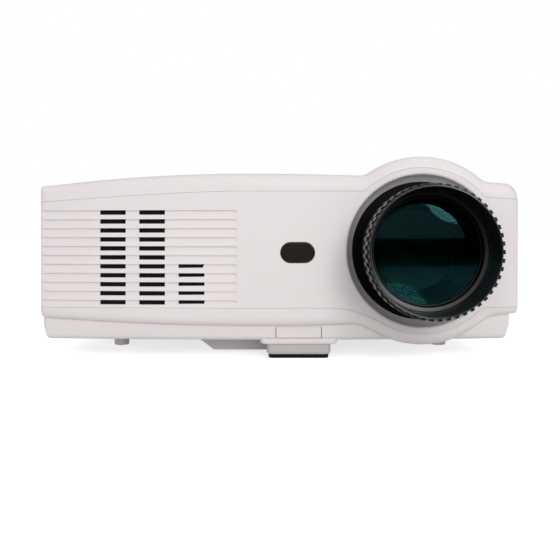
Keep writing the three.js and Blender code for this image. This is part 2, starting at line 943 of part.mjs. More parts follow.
// The level line that dips round the lens by a fillet, an arc and a fillet.
function lowerLine(shift) {
  const radius = bezelRadius + shift;
  const level = lowerParting - shift;
  const left = lineFillet(radius, level, bezelLeftFillet, -1);
  const right = lineFillet(radius, level, bezelRightFillet, 1);
  const ends = [left.meeting + halfTurn, right.meeting + halfTurn];
  return [
    [-halfWidth - overrun, level],
    ...arc(left.x, left.z, bezelLeftFillet, quarterTurn, left.meeting, bezelLeftStepCount),
    ...arc(lensX, lensHeight, radius, ends[0], ends[1], bezelStepCount).slice(1, -1),
    ...arc(right.x, right.z, bezelRightFillet, right.meeting, quarterTurn, cornerStepCount),
    [halfWidth + overrun, level],
  ];
}

// The fillet under a level line that runs into the arc round the lens, on its left or right side.
function lineFillet(radius, level, size, side) {
  const across = Math.sqrt((radius + size) ** 2 - (lensHeight - level + size) ** 2);
  const [x, z] = [lensX + side * across, level - size];
  return { x, z, meeting: (Math.atan2(lensHeight - z, lensX - x) * halfTurn) / Math.PI };
}

function upperLine(shift) {
  const radius = bezelRadius + shift;
  const reach = radius * Math.SQRT1_2;
  const riseAt = (x) => upperPartingAt(x) + shift - lensHeight;
  const angleAt = (x) => (Math.asin(riseAt(x) / radius) * halfTurn) / Math.PI;
  const [left, right] = [halfTurn - angleAt(lensX - reach), angleAt(lensX + reach)];
  return straightUpperLine(shift, arc(lensX, lensHeight, radius, left, right, bezelStepCount));
}

function straightUpperLine(shift, bridge) {
  const [start, end] = [-halfWidth - overrun, halfWidth + overrun];
  const [from, to] = [bridge[0][0], bridge[bridge.length - 1][0]];
  const places = [start, ...placesBetween(start, from, upperStepCount)];
  const after = [...placesBetween(to, end, upperEndStepCount), end];
  const onLine = (x) => [x, upperPartingAt(x) + shift];
  return [...places.map(onLine), ...bridge, ...after.map(onLine)];
}

function levelLine(level) {
  return [[-halfWidth - overrun, level], [halfWidth + overrun, level]];
}

// Everything above, between or below the parting lines: arched round the lens in front, level behind.
function inTwoZones(frontOutline, rearOutline) {
  const split = mouthPlane + frontZoneDepth;
  const frontZone = frontPrism(frontOutline, rimPlane, split);
  return frontZone.add(frontPrism(rearOutline, split, rearPlane + overrun));
}

function plainBridge(shift) {
  return [[lensX, upperPartingAt(lensX) + shift]];
}

function regionAbove(shift) {
  const close = (line) => [...line, ...levelLine(skyLevel).reverse()];
  return inTwoZones(close(upperLine(shift)), close(straightUpperLine(shift, plainBridge(shift))));
}

function regionBelow(shift) {
  const close = (line) => [...line, ...levelLine(-overrun).reverse()];
  return inTwoZones(close(lowerLine(shift)), close(levelLine(lowerParting - shift)));
}

function regionBetween(shift) {
  const rearTop = straightUpperLine(-shift, plainBridge(-shift));
  const frontOutline = [...upperLine(-shift), ...lowerLine(-shift).reverse()];
  return inTwoZones(frontOutline, [...rearTop, ...levelLine(lowerParting + shift).reverse()]);
}

const projector = new THREE.Group();
const solidCase = joined([caseBlock(0), humpBlock(0), tubBlock(0)]);
const cavity = joined([caseBlock(wall), humpBlock(wall), tubBlock(wall)]);
const shell = solidCase.subtract(cavity);

// Top cover with the keypad pocket

const keys = [
  { name: "ok_button", x: 0, y: 0, radius: okKeyRadius },
  { name: "up_button", x: 0, y: arrowKeyReach, radius: arrowKeyRadius },
  { name: "down_button", x: 0, y: -arrowKeyReach, radius: arrowKeyRadius },
  { name: "left_button", x: -arrowKeyReach, y: 0, radius: arrowKeyRadius },
  { name: "right_button", x: arrowKeyReach, y: 0, radius: arrowKeyRadius },
  { name: "power_button", x: -powerKeyReach, y: 0, radius: powerKeyRadius },
  { name: "source_button", x: sideKeyReach, y: sideKeySpread, radius: sideKeyRadius },
  { name: "menu_button", x: sideKeyReach, y: -sideKeySpread, radius: sideKeyRadius },
];

const screws = [
  [-screwX, mouthPlane + screwFrontBack],
  [screwX, mouthPlane + screwFrontBack],
  [-screwX, rearPlane - screwRearFront],
  [screwX, rearPlane - screwRearFront],
];

function keyHoles(z0, z1) {
  return keys.map(({ x, y, radius }) =>
    uprightRod(panelX + x, panelY + y, radius + keyGap, z0, z1, keySideCount));
}

function panelOutline(inset) {
  const [halfLength, halfDepth] = [panelLength / 2 - inset, panelDepth / 2 - inset];
  const [left, right] = [panelX - halfLength, panelX + halfLength];
  return roundedBox(left, right, panelY - halfDepth, panelY + halfDepth, panelCornerRadius - inset);
}

function keypadCorners() {
  const inset = keypadPostRadius * 2;
  const [halfLength, halfDepth] = [panelLength / 2 - inset, panelDepth / 2 - inset];
  const across = [panelX - halfLength, panelX + halfLength];
  return across.flatMap((x) => [panelY - halfDepth, panelY + halfDepth].map((y) => [x, y]));
}

function topCover() {
  const body = shell.intersect(regionAbove(partingGap / 2));
  const pad = planPrism(panelOutline(-wall), pocketUnderside, panelTop).intersect(solidCase);
  const posts = screws.map(([x, y]) =>
    uprightRod(x, y, topPostRadius, postTop + fitGap, skyLevel, screwSideCount).intersect(solidCase));
  const boardPosts = keypadCorners().map(([x, y]) =>
    uprightRod(x, y, keypadPostRadius, keypadBoardTop, pocketUnderside + embed, screwSideCount));
  const shaftHoles = screws.map(([x, y]) =>
    uprightRod(x, y, screwShaftRadius + fitGap, tubBottom, screwTop() + fitGap, screwSideCount));
  const pocket = planPrism(panelOutline(-fitGap), pocketFloor, skyLevel);
  const holes = keyHoles(pocketUnderside - overrun, skyLevel);
  const solid = joined([body, pad, ...posts, ...boardPosts]);
  piece(projector, "top_cover", without(solid, [pocket, ...holes, ...shaftHoles]), shellWhite);
}

function screwTop() {
  return tubBottom + fitGap + screwHeadHeight + screwShaftLength;
}

function keypad() {
  const plate = without(planPrism(panelOutline(0), pocketFloor, panelTop), keyHoles(0, skyLevel));
  piece(projector, "control_panel", plate, darkPlastic);
  const thickness = boardThickness;
  const board = block(
    panelX - panelLength / 2, panelX + panelLength / 2, panelY - panelDepth / 2, panelY + panelDepth / 2,
    keypadBoardTop - thickness, keypadBoardTop,
  );
  piece(projector, "keypad_board", board, boardGreen);
  for (const key of keys) {
    const place = groupAt(projector, panelX + key.x, panelY + key.y, keyBottom);
    const profile = [
      [0, 0],
      [key.radius + keyFlange, 0],
      [key.radius + keyFlange, keyFlangeHeight],
      [key.radius, keyFlangeHeight],
      [key.radius, panelTop - keyBottom],
      [key.radius - keyProud / 2, panelTop + keyProud - keyBottom],
      [0, panelTop + keyProud - keyBottom],
    ];
    piece(place, key.name, turnedAboutZ(profile, keySideCount), keyGrey);
  }
}

// Front bezel

function ridgeLevel(index) {
  return crownHeight - ridgeTopDrop - ridgePitch * index;
}

// A groove under one ridge line, following the left corner and the bow of the face.
function ridgeCut(level) {
  const reach = (ridgeSlopeHeight * (ridgeDepth + embed)) / ridgeDepth;
  const [from, to] = [-halfWidth + leftCornerRadius, halfWidth - rightCornerRadius];
  const corner = cornerPlaces(-halfWidth, leftCornerRadius, leftStepCount);
  const places = [-halfWidth - overrun, ...corner, ...placesBetween(from, to, faceStepCount)];
  const used = places.filter((x) => x < ridgeEndX);
  return skin([...used, ridgeEndX].map((x) => {
    const fromLeft = Math.max(x + halfWidth, 0);
    const face = faceAt(fromLeft - halfWidth) + cornerInsetAt(fromLeft, bodyWidth, 0);
    return [[x, face + ridgeDepth, level], [x, face - embed, level], [x, face - embed, level - reach]];
  }));
}

function ventSlots() {
  const slots = [];
  for (let row = 0; row < ridgeCount; row++) {
    for (let column = 0; column < slotColumnCount; column++) {
      const isShort = column === slotColumnCount - 1;
      if (isShort && row < ridgeCount - slotShortRowCount) continue;
      const x = slotFirstX + column * slotColumnPitch;
      const top = ridgeLevel(row);
      slots.push(block(x, x + slotLength, rimPlane, bezelEnd, top - slotHeight, top));
    }
  }
  return slots;
}

function stadium(width, height) {
  const [straight, radius] = [(width - height) / 2, height / 2];
  return [
    ...arc(straight, 0, radius, -quarterTurn, quarterTurn, windowEndStepCount),
    ...arc(-straight, 0, radius, quarterTurn, halfTurn + quarterTurn, windowEndStepCount),
  ];
}

function mouthSkin(rings) {
  return skin(rings.map(([radius, depth, bowed]) =>
    lensRing(radius, mouthSideCount, (x) => (bowed ? faceAt(x) : mouthPlane) + depth)));
}

function receiverPegs() {
  const reach = receiverBoardWidth / 2 - pegInset;
  const from = faceAt(windowX) + wall - embed;
  return [-reach, reach].map((x) =>
    levelRod(windowX + x, windowHeightLevel, pegRadius, from, receiverBoardFace, screwSideCount));
}

function frontBezel() {
  const band = shell.intersect(regionBetween(partingGap / 2));
  const behind = bezelEnd - partingGap / 2;
  const reach = halfWidth + overrun;
  const body = band.intersect(block(-reach, reach, rimPlane, behind, 0, skyLevel));
  const throat = mouthDepth;
  const collar = mouthSkin([
    [mouthRadius + mouthWall, wall / 2, true],
    [mouthThroatRadius + mouthWall, throat, false],
  ]);
  const mouth = mouthSkin([
    [mouthRadius + mouthBevel * 2, -mouthBevel, true],
    [mouthRadius, mouthBevel, true],
    [mouthThroatRadius, throat, false],
    [mouthThroatRadius, throat + overrun, false],
  ]);
  const windowHole = moved(
    frontPrism(stadium(windowWidth, windowHeight), rimPlane, bezelEnd), windowX, 0, windowHeightLevel,
  );
  const ridges = [];
  for (let i = 0; i < ridgeCount; i++) ridges.push(ridgeCut(ridgeLevel(i)));
  const cuts = [mouth, windowHole, ...ridges, ...ventSlots()];
  piece(projector, "front_bezel", without(joined([body, collar, ...receiverPegs()]), cuts), shellWhite);
}

function infraredWindow() {
  const place = groupAt(projector, windowX, faceAt(windowX), windowHeightLevel);
  const inner = stadium(windowWidth - fitGap * 2, windowHeight - fitGap * 2);
  const outer = stadium(windowWidth + windowFlange * 2, windowHeight + windowFlange * 2);
  const flangeFace = wall + fitGap;
  const flange = frontPrism(outer, flangeFace, flangeFace + windowFlangeThickness);
  piece(place, "ir_window", frontPrism(inner, fitGap, flangeFace + embed).add(flange), smokedPlastic);
  const half = receiverSize / 2;
  const [halfWide, halfHigh] = [receiverBoardWidth / 2, receiverBoardHeight / 2];
  const front = receiverBoardSetback - receiverDepth;
  const eye = block(-half, half, front, receiverBoardSetback + embed, -half, half);
  const board = block(
    -halfWide, halfWide, receiverBoardSetback, receiverBoardSetback + boardThickness, -halfHigh, halfHigh,
  );
  piece(place, "ir_receiver", eye.add(board), darkPlastic);
}

// Rear panel and side grilles

function verticalSlots(count, centre, height, slotAt) {
  const slots = [];
  const [low, high] = [lensHeight - height / 2, lensHeight + height / 2];
  for (let i = 0; i < count; i++) {
    const place = centre + ventPitch * (i - (count - 1) / 2);
    slots.push(slotAt(place - ventWidth / 2, place + ventWidth / 2, low, high));
  }
  return slots;
}

function sideGrille(name, side) {
  const band = shell.intersect(regionBetween(partingGap / 2));
  const [from, to] = [bezelEnd + partingGap / 2, rearPanelStart - partingGap / 2];
  const [inner, outer] = side < 0 ? [-halfWidth - overrun, 0] : [0, halfWidth + overrun];
  const body = band.intersect(block(inner, outer, from, to, 0, skyLevel));
  const slotAt = (y0, y1, z0, z1) => block(inner, outer, y0, y1, z0, z1);
  const back = side < 0 ? leftVentBack : rightVentBack;
  const slots = verticalSlots(sideVentCount, mouthPlane + back, sideVentHeight, slotAt);
  if (side < 0) {
    slots.push(...verticalSlots(speakerVentCount, mouthPlane + speakerBack, speakerVentHeight, slotAt));
  }
  piece(projector, name, without(body, slots), shellWhite);
}

const sockets = [
  { make: hdmiSocket, x: hdmiX, rise: lowerSocketRise, width: hdmiWidth, height: hdmiHeight },
  { make: usbSocket, x: usbX, rise: lowerSocketRise, width: usbWidth, height: usbHeight },
  { make: vgaSocket, x: vgaX, rise: lowerSocketRise, width: vgaWidth, height: vgaHeight },
  { make: avJackBlock, x: avX, rise: upperSocketRise, width: avPitch * avJackCount, height: avHeight },
  { make: headphoneJack, x: headphoneX, rise: upperSocketRise, width: headphoneSize, height: headphoneSize },
];

function mainBoardPegs() {
  const left = mainBoardRightX - mainBoardLength + pegInset * 2;
  const right = mainBoardRightX - pegInset * 2;
  const top = mainBoardBottom + mainBoardHeight - pegInset;
  const places = [[left, top], [right, top], [left, bayBottom]];
  const end = rearPlane - wall + embed;
  return places.map(([x, z]) => levelRod(x, z, pegRadius, mainBoardFace, end, screwSideCount));
}

function rearPanel() {
  const band = shell.intersect(regionBetween(partingGap / 2));
  const from = rearPanelStart + partingGap / 2;
  const reach = halfWidth + overrun;
  const body = band.intersect(block(-reach, reach, from, rearPlane + overrun, 0, skyLevel));
  const bayTop = bayBottom + bayHeight;
  const bayBack = bayFloor - bayWall;
  const bayBox = block(
    bayLeft - bayWall, bayRight + bayWall, bayBack, rearPlane - embed, bayBottom - bayWall, bayTop + bayWall,
  );
  const bay = block(bayLeft, bayRight, bayFloor, rearPlane + overrun, bayBottom, bayTop);
  const cutouts = sockets.map(({ x, rise, width, height }) => {
    const [halfWide, halfHigh] = [width / 2 + fitGap, height / 2 + fitGap];
    const z = bayBottom + rise;
    return block(x - halfWide, x + halfWide, bayBack - overrun, rearPlane, z - halfHigh, z + halfHigh);
  });
  const frame = inletBlock(inletFlange + inletFrame, -inletFlangeThickness - inletFrame, inletSink - embed);
  const seat = inletBlock(inletFlange + fitGap, -inletFlangeThickness, inletSink + overrun);
  const well = inletBlock(fitGap, -inletDepth, overrun);
  const slotAt = (x0, x1, z0, z1) => block(x0, x1, rearPanelStart, rearPlane + overrun, z0, z1);
  const slots = verticalSlots(rearVentCount, rearVentX, rearVentHeight, slotAt);
  const solid = joined([body, bayBox, frame, ...mainBoardPegs()]);
  piece(projector, "rear_panel", without(solid, [bay, ...cutouts, seat, well, ...slots]), shellWhite);
}

// A block round the inlet, wider than it by a margin, from one depth to another from its flange face.
function inletBlock(margin, from, to) {
  const [halfWide, halfHigh] = [inletWidth / 2 + margin, inletHeight / 2 + margin];
  const [face, z] = [rearPlane - inletSink, tubBottom + inletRise];
  return block(inletX - halfWide, inletX + halfWide, face + from, face + to, z - halfHigh, z + halfHigh);
}

function socketBody({ width, height }) {
  return block(-width / 2, width / 2, 0, socketReach, -height / 2, height / 2);
}

function hdmiSocket(place, size) {
  const [halfWide, halfHigh] = [hdmiMouthWidth / 2, hdmiMouthHeight / 2];
  const mouth = frontPrism([
    [-halfWide, halfHigh],
    [-halfWide, -halfHigh + hdmiMouthSlant],
    [-halfWide + hdmiMouthSlant, -halfHigh],
    [halfWide - hdmiMouthSlant, -halfHigh],
    [halfWide, -halfHigh + hdmiMouthSlant],
    [halfWide, halfHigh],
  ], socketReach - socketMouthDepth, socketReach + overrun);
  const tongue = socketTongue(hdmiMouthWidth, 0);
  piece(place, "hdmi_socket", socketBody(size).subtract(mouth).add(tongue), plainSteel);
}

function socketTongue(mouthWidth, z) {
  const halfWide = mouthWidth / 2 - tongueSideGap;
  const from = socketReach - socketMouthDepth - embed;
  const half = tongueThickness / 2;
  return block(-halfWide, halfWide, from, socketReach - tongueShortfall, z - half, z + half);
}

function usbSocket(place, size) {
  const levels = [-usbMouthSpread, usbMouthSpread];
  const [halfWide, halfHigh] = [usbMouthWidth / 2, usbMouthHeight / 2];
  const [from, to] = [socketReach - socketMouthDepth, socketReach + overrun];
  const mouths = levels.map((z) => block(-halfWide, halfWide, from, to, z - halfHigh, z + halfHigh));
  const tongues = levels.map((z) => socketTongue(usbMouthWidth, z));
  piece(place, "usb_socket", joined([without(socketBody(size), mouths), ...tongues]), plainSteel);
}

function vgaOutline(shrink) {
  const [halfWide, halfHigh] = [vgaShellWidth / 2 - shrink, vgaShellHeight / 2 - shrink];
  const low = halfWide - vgaShellSlant;
  return [[-halfWide, halfHigh], [-low, -halfHigh], [low, -halfHigh], [halfWide, halfHigh]];
}

function vgaSocket(place, size) {
  const top = socketReach + vgaShellLength;
  const outer = frontPrism(vgaOutline(0), socketReach - embed, top);
  const inner = frontPrism(vgaOutline(vgaShellWall), socketReach, top + overrun);
  const nuts = [-vgaNutReach, vgaNutReach].map((x) =>
    levelRod(x, 0, vgaNutRadius, socketReach - embed, socketReach + vgaNutLength, vgaNutSideCount));
  piece(place, "vga_socket", joined([socketBody(size), outer, ...nuts]).subtract(inner), plainSteel);
}

function jackBarrel(x, radius, length, bore) {
  const end = socketReach + length;
  const body = levelRod(x, 0, radius, socketReach - embed, end, jackSideCount);
  const hole = levelRod(x, 0, bore, socketReach - socketMouthDepth, end + overrun, jackSideCount);
  return { body, hole };
}

function avJackBlock(place, size) {
  const barrels = [];
  for (let i = 0; i < avJackCount; i++) {
    const x = avPitch * (i - (avJackCount - 1) / 2);
    barrels.push(jackBarrel(x, avBarrelRadius, avBarrelLength, avBoreRadius));
  }
  const solid = joined([socketBody(size), ...barrels.map(({ body }) => body)]);
  piece(place, "av_jack_block", without(solid, barrels.map(({ hole }) => hole)), darkPlastic);
}

function headphoneJack(place, size) {
  const { body, hole } = jackBarrel(0, headphoneBarrelRadius, headphoneBarrelLength, headphoneBoreRadius);
  piece(place, "headphone_jack", socketBody(size).add(body).subtract(hole), blackPlastic);
}

function rearSockets() {
  for (const socket of sockets) {
    socket.make(groupAt(projector, socket.x, mainBoardFace, bayBottom + socket.rise), socket);
  }
}

// Power inlet, its local origin in the middle of its flange face

function powerInlet() {
  const place = groupAt(projector, inletX, rearPlane - inletSink, tubBottom + inletRise);
  const [halfWide, halfHigh] = [inletWidth / 2, inletHeight / 2];
  const [flangeWide, flangeHigh] = [halfWide + inletFlange, halfHigh + inletFlange];
  const flange = block(-flangeWide, flangeWide, -inletFlangeThickness, 0, -flangeHigh, flangeHigh);
  const body = block(-halfWide, halfWide, -inletDepth, -embed, -halfHigh, halfHigh);
  const [mouthWide, mouthHigh] = [inletMouthWidth / 2, inletMouthHeight / 2];
  const low = -inletMouthDrop;
  const mouth = block(-mouthWide, mouthWide, -inletMouthDepth, overrun, low - mouthHigh, low + mouthHigh);
  const pinPlaces = [[-inletPinReach, low], [inletPinReach, low], [0, low + inletEarthRise]];
  const [pinWide, pinHigh] = [inletPinWidth / 2, inletPinHeight / 2];
  const pinEnd = inletPinLength - inletMouthDepth;
  const pins = pinPlaces.map(([x, z]) =>
    block(x - pinWide, x + pinWide, -inletMouthDepth - embed, pinEnd, z - pinHigh, z + pinHigh));
  const [pocketWide, pocketHigh] = [rockerWidth / 2 + fitGap, rockerLength / 2 + rockerPocketGap];
  const pocket = block(
    -pocketWide, pocketWide, -rockerPocketDepth, overrun, rockerRise - pocketHigh, rockerRise + pocketHigh,
  );
  const pinReach = pocketWide + rockerPinReach;
  const pinHole = crossRod(
    -rockerPivotSetback, rockerRise, rockerPinRadius + fitGap, -pinReach, pinReach, screwSideCount,
  );
  const housing = without(flange.add(body), [mouth, pocket, pinHole]);
  piece(place, "power_inlet", housing.add(joined(pins)), blackPlastic);
  const half = rockerLength / 2;
  const rocker = sidePrism([
    [-rockerBack, 0],
    [0, -half],
    [rockerRidge, -half],
    [rockerValley, 0],
    [rockerRidge, half],
    [0, half],
  ], -rockerWidth / 2, rockerWidth / 2);
  const axleReach = rockerWidth / 2 + rockerPinReach;
  const axle = crossRod(0, 0, rockerPinRadius, -axleReach, axleReach, screwSideCount);
  const button = piece(place, "power_switch", rocker.add(axle), blackPlastic);
  button.position.set(0, -rockerPivotSetback, rockerRise);
  button.rotation.x = degrees(-rockerTilt);
}

// Lens, its local origin on the lens axis level with the middle of the case

function toothRow(from, to, turnShare) {
  const outline = [];
  const rootRadius = ringRootRadius - fitGap;
  const pitch = fullTurn / toothCount;
  for (let i = 0; i < toothCount; i++) {
    const middle = (i + turnShare) * pitch;
    const corners = [
      [rootRadius, -toothRootShare], [ringTipRadius, -toothTipShare],
      [ringTipRadius, toothTipShare], [rootRadius, toothRootShare],
    ];
    for (const [radius, share] of corners) {
      const angle = degrees(middle + share * pitch);
      outline.push([radius * Math.cos(angle), radius * Math.sin(angle)]);
    }
  }
  return frontPrism(outline, from, to);
}

function focusRing(lens) {
  const bevelled = rimPlane + ringBevel;
  const outer = turnedAboutY([
    [0, rimPlane],
    [ringRimRadius, rimPlane],
    [ringRootRadius, bevelled],
    [ringRootRadius, ringEnd],
    [0, ringEnd],
  ], toothCount);
  const frontRowEnd = bevelled + toothRowLength;
  const rearRowStart = frontRowEnd + toothRowGap;
  const rows = [
    toothRow(bevelled, frontRowEnd, 0),
    toothRow(rearRowStart, rearRowStart + toothRowRearLength, toothRowTurnShare),
  ];
  const grooveEnd = ringEnd - beadFromRingEnd + fitGap;
  const grooveStart = grooveEnd - beadLength - fitGap * 2;
  const grooveRadius = mountTubeRadius + beadHeight + fitGap;
  const bore = turnedAboutY([
    [0, rimPlane - overrun],
    [ringRimInner, rimPlane - overrun],
    [ringRimInner, rimPlane],
    [hoodThroatRadius, rimPlane + hoodDepth],
    [hoodThroatRadius, hoodFloor],
    [ringBore, hoodFloor],
    [ringBore, grooveStart],
    [grooveRadius, grooveStart],
    [grooveRadius, grooveEnd],
    [ringBore, grooveEnd],
    [ringBore, ringEnd + overrun],
    [0, ringEnd + overrun],
  ], lensSideCount);
  piece(lens, "focus_ring", joined([outer, ...rows]).subtract(bore), blackPlastic);
}

function lensMount(lens) {
  const tubeFront = hoodFloor + mountTubeGap;
  const inner = mountTubeRadius - mountTubeWall;
  const beadEnd = ringEnd - beadFromRingEnd;
  const beadRadius = mountTubeRadius + beadHeight;
  const tube = turnedAboutY([
    [inner, tubeFront],
    [mountTubeRadius, tubeFront],
    [mountTubeRadius, beadEnd - beadLength],
    [beadRadius, beadEnd - beadLength],
    [beadRadius, beadEnd],
    [mountTubeRadius, beadEnd],
    [mountTubeRadius, flangePlane],
    [mountFlangeRadius, flangePlane],
    [mountFlangeRadius, tunnelFront],
    [inner, tunnelFront],
  ], lensSideCount);
  const halfKey = keyWidth / 2 + fitGap;
  const slotStart = tubeFront + keySetback;
  const slotEnd = slotStart + keyLength + focusTravel + fitGap * 2;
  const slot = block(-halfKey, halfKey, slotStart, slotEnd, 0, mountTubeRadius + overrun);
  piece(lens, "lens_mount", tube.subtract(slot), blackPlastic);
}

function lensBarrel(lens) {
  const bore = barrelRadius - barrelWall;
  const barrelEnd = barrelFront + barrelLength;
  const seatRadius = frontLensRadius + seatGap;
  const seatEnd = frontLensFace() + frontLensEdge + seatGap;
  const rearSeat = barrelEnd - rearLensEdge - seatGap * 2;
  const rearBore = rearLensRadius + seatGap;
  const lip = rearBore - seatLip * 2;
  const tube = turnedAboutY([
    [seatRadius, barrelFront],
    [barrelRadius, barrelFront],
    [barrelRadius, barrelEnd],
    [rearBore, barrelEnd],
    [rearBore, rearSeat],
    [lip, rearSeat],
    [lip, rearSeat - seatLip],
    [bore, rearSeat - seatLip],
    [bore, seatEnd],
    [seatRadius, seatEnd],
  ], lensSideCount);
  const keyStart = hoodFloor + mountTubeGap + keySetback + fitGap;
  const [half, foot] = [keyWidth / 2, barrelRadius - embed];
  const key = block(-half, half, keyStart, keyStart + keyLength, foot, barrelRadius + keyHeight);
  piece(lens, "lens_barrel", tube.add(key), blackPlastic);
}

function frontLensFace() {
  return barrelFront + retainerLength + seatGap * 2;
}

// Points of a bulging face, from the axis outwards, its crown towards one side.
function domePoints(radius, place, crown) {
  const points = [];
  for (let i = 0; i <= lensStepCount; i++) {
    const share = i / lensStepCount;
    points.push([radius * share, place + crown * (1 - share * share)]);
  }
  return points;
}

function lensGlasses(lens) {
  const face = frontLensFace();
  const frontGlass = [
    ...domePoints(frontLensRadius, face, -frontLensCrown),
    ...domePoints(frontLensRadius, face + frontLensEdge, frontLensBack).reverse(),
  ];
  piece(lens, "front_lens", turnedAboutY(frontGlass, lensSideCount), lensGlass);
  const seat = frontLensRadius + seatGap - fitGap;
  const retainer = turnedAboutY([
    [seat - retainerWidth, barrelFront + seatGap],
    [seat, barrelFront + seatGap],
    [seat, barrelFront + seatGap + retainerLength],
    [seat - retainerWidth, barrelFront + seatGap + retainerLength],
  ], lensSideCount);
  piece(lens, "lens_retaining_ring", retainer, plainSteel);
  const rearFace = barrelFront + barrelLength - seatGap - rearLensEdge;
  const rearGlass = [
    [0, rearFace],
    [rearLensRadius, rearFace],
    ...domePoints(rearLensRadius, rearFace + rearLensEdge, rearLensCrown).reverse(),
  ];
  piece(lens, "rear_lens", turnedAboutY(rearGlass, lensSideCount), clearGlass);
}

// Light tunnel, fold mirror and panel stack

// The bent duct seen from above: an arm to the lens, an arm to the panel, a slanting wall behind the mirror.
function tunnelOutline(inset, reach) {
  const slant = (mirrorThickness + fitGap * 2 + tunnelWall - inset) * Math.SQRT2;
  const [near, far] = [mirrorY - tunnelHalfDepth + inset, tunnelRear - inset];
  const [left, right] = [lensX - lensArmHalfWidth + inset, lensX + lensArmHalfWidth - inset];
  return [
    [tunnelStart - reach, near],
    [left, near],
    [left, tunnelFront + inset],
    [right, tunnelFront + inset],
    [right, mirrorY + slant - (right - lensX)],
    [lensX + slant - (far - mirrorY), far],
    [tunnelStart - reach, far],
  ];
}

function lightTunnel() {
  const outer = planPrism(tunnelOutline(0, 0), tunnelBottom, lensHeight + tunnelHalfHeight);
  const halfInside = tunnelHalfHeight - tunnelWall;
  const [floor, roof] = [lensHeight - halfInside, lensHeight + halfInside];
  const inner = planPrism(tunnelOutline(tunnelWall, overrun), floor, roof);
  const hole = levelRod(
    lensX, lensHeight, barrelRadius + fitGap, tunnelFront - overrun, tunnelFront + overrun, lensSideCount,
  );
  piece(projector, "light_tunnel", without(outer, [inner, hole]), darkPlastic);
}

function foldMirror() {
  const reach = lensArmHalfWidth - tunnelWall - fitGap - mirrorThickness;
  const half = reach * Math.SQRT2;
  const halfHigh = panelHalfHeight;
  const place = groupAt(projector, lensX, mirrorY, lensHeight);
  place.rotation.z = degrees(-quarterTurn / 2);
  const mirror = block(-half, half, fitGap, fitGap + mirrorThickness, -halfHigh, halfHigh);
  piece(place, "fold_mirror", mirror, mirrorSilver);
}

function panelStack(optics) {
  const [halfDeep, halfHigh] = [panelHalfDepth, panelHalfHeight];
  const [glassDeep, glassHigh] = [halfDeep - panelBorder, halfHigh - panelBorder];
  const end = panelFace + panelThickness;
  const frame = block(panelFace, end, -halfDeep, halfDeep, -halfHigh, halfHigh);
  const recesses = [[panelFace - overrun, panelFace + panelRecess], [end - panelRecess, end + overrun]];
  const cuts = recesses.map(([x0, x1]) => block(x0, x1, -glassDeep, glassDeep, -glassHigh, glassHigh));
  piece(optics, "lcd_panel", without(frame, cuts), darkPlastic);
  const sheet = block(fresnelFace, fresnelFace + fresnelThickness, -halfDeep, halfDeep, -halfHigh, halfHigh);
  piece(optics, "field_fresnel", sheet, clearGlass);
}

function frustum(x0, x1, half0, half1) {
  const ring = (x, [halfDeep, halfHigh]) =>
    [[x, -halfDeep, -halfHigh], [x, halfDeep, -halfHigh], [x, halfDeep, halfHigh], [x, -halfDeep, halfHigh]];
  return skin([ring(x0, half0), ring(x1, half1)]);
}

function condenser(optics) {
  const coneEnd = fresnelFace - fitGap;
  const blockStart = sinkFace + fitGap;
  const half = lampBlockSize / 2;
  const wide = [panelHalfDepth, panelHalfHeight];
  const inside = [half - coneWall, half - coneWall];
  const outer = frustum(lampBlockEnd - embed, coneEnd, [half, half], wide);
  const lamp = block(blockStart, lampBlockEnd, -half, half, -half, half);
  const inner = frustum(lampBlockEnd, coneEnd + embed, inside, wide.map((value) => value - coneWall));
  const bore = crossRod(0, 0, lampBore, blockStart - overrun, lampBlockEnd + embed, lampSideCount);
  piece(optics, "condenser_cone", without(outer.add(lamp), [inner, bore]), darkPlastic);
  const lensStart = blockStart + condenserSetback;
  const profile = [
    [0, lensStart],
    [condenserRadius, lensStart],
    ...domePoints(condenserRadius, lensStart + condenserEdge, condenserCrown).reverse(),
  ];
  piece(optics, "condenser_lens", turnedAboutX(profile, lampSideCount), clearGlass);
  const halfLed = ledSize / 2;
  const plate = block(sinkFace, sinkFace + ledThickness, -halfLed, halfLed, -halfLed, halfLed);
  const emitter = crossRod(
    0, 0, emitterRadius, sinkFace + embed, sinkFace + ledThickness + emitterHeight, emitterSideCount,
  );
  piece(optics, "led_module", plate.add(emitter), ledYellow);
}

function heatsink(optics) {
  const half = heatsinkSize / 2;
  const base = block(sinkFace - heatsinkBase, sinkFace, -half, half, -half, half);
  const pitch = heatsinkSize / (finCount - finShare * 2);
  const fins = [];
  for (let i = 0; i < finCount; i++) {
    const start = -half + (heatsinkSize - pitch * finShare) * (i / (finCount - 1));
    const end = start + pitch * finShare;
    fins.push(block(finStart, sinkFace - heatsinkBase + embed, start, end, -half, half));
  }
  piece(optics, "led_heatsink", joined([base, ...fins]), aluminium);
}

// Fans blow along their local Y axis, which starts at the open side of the frame

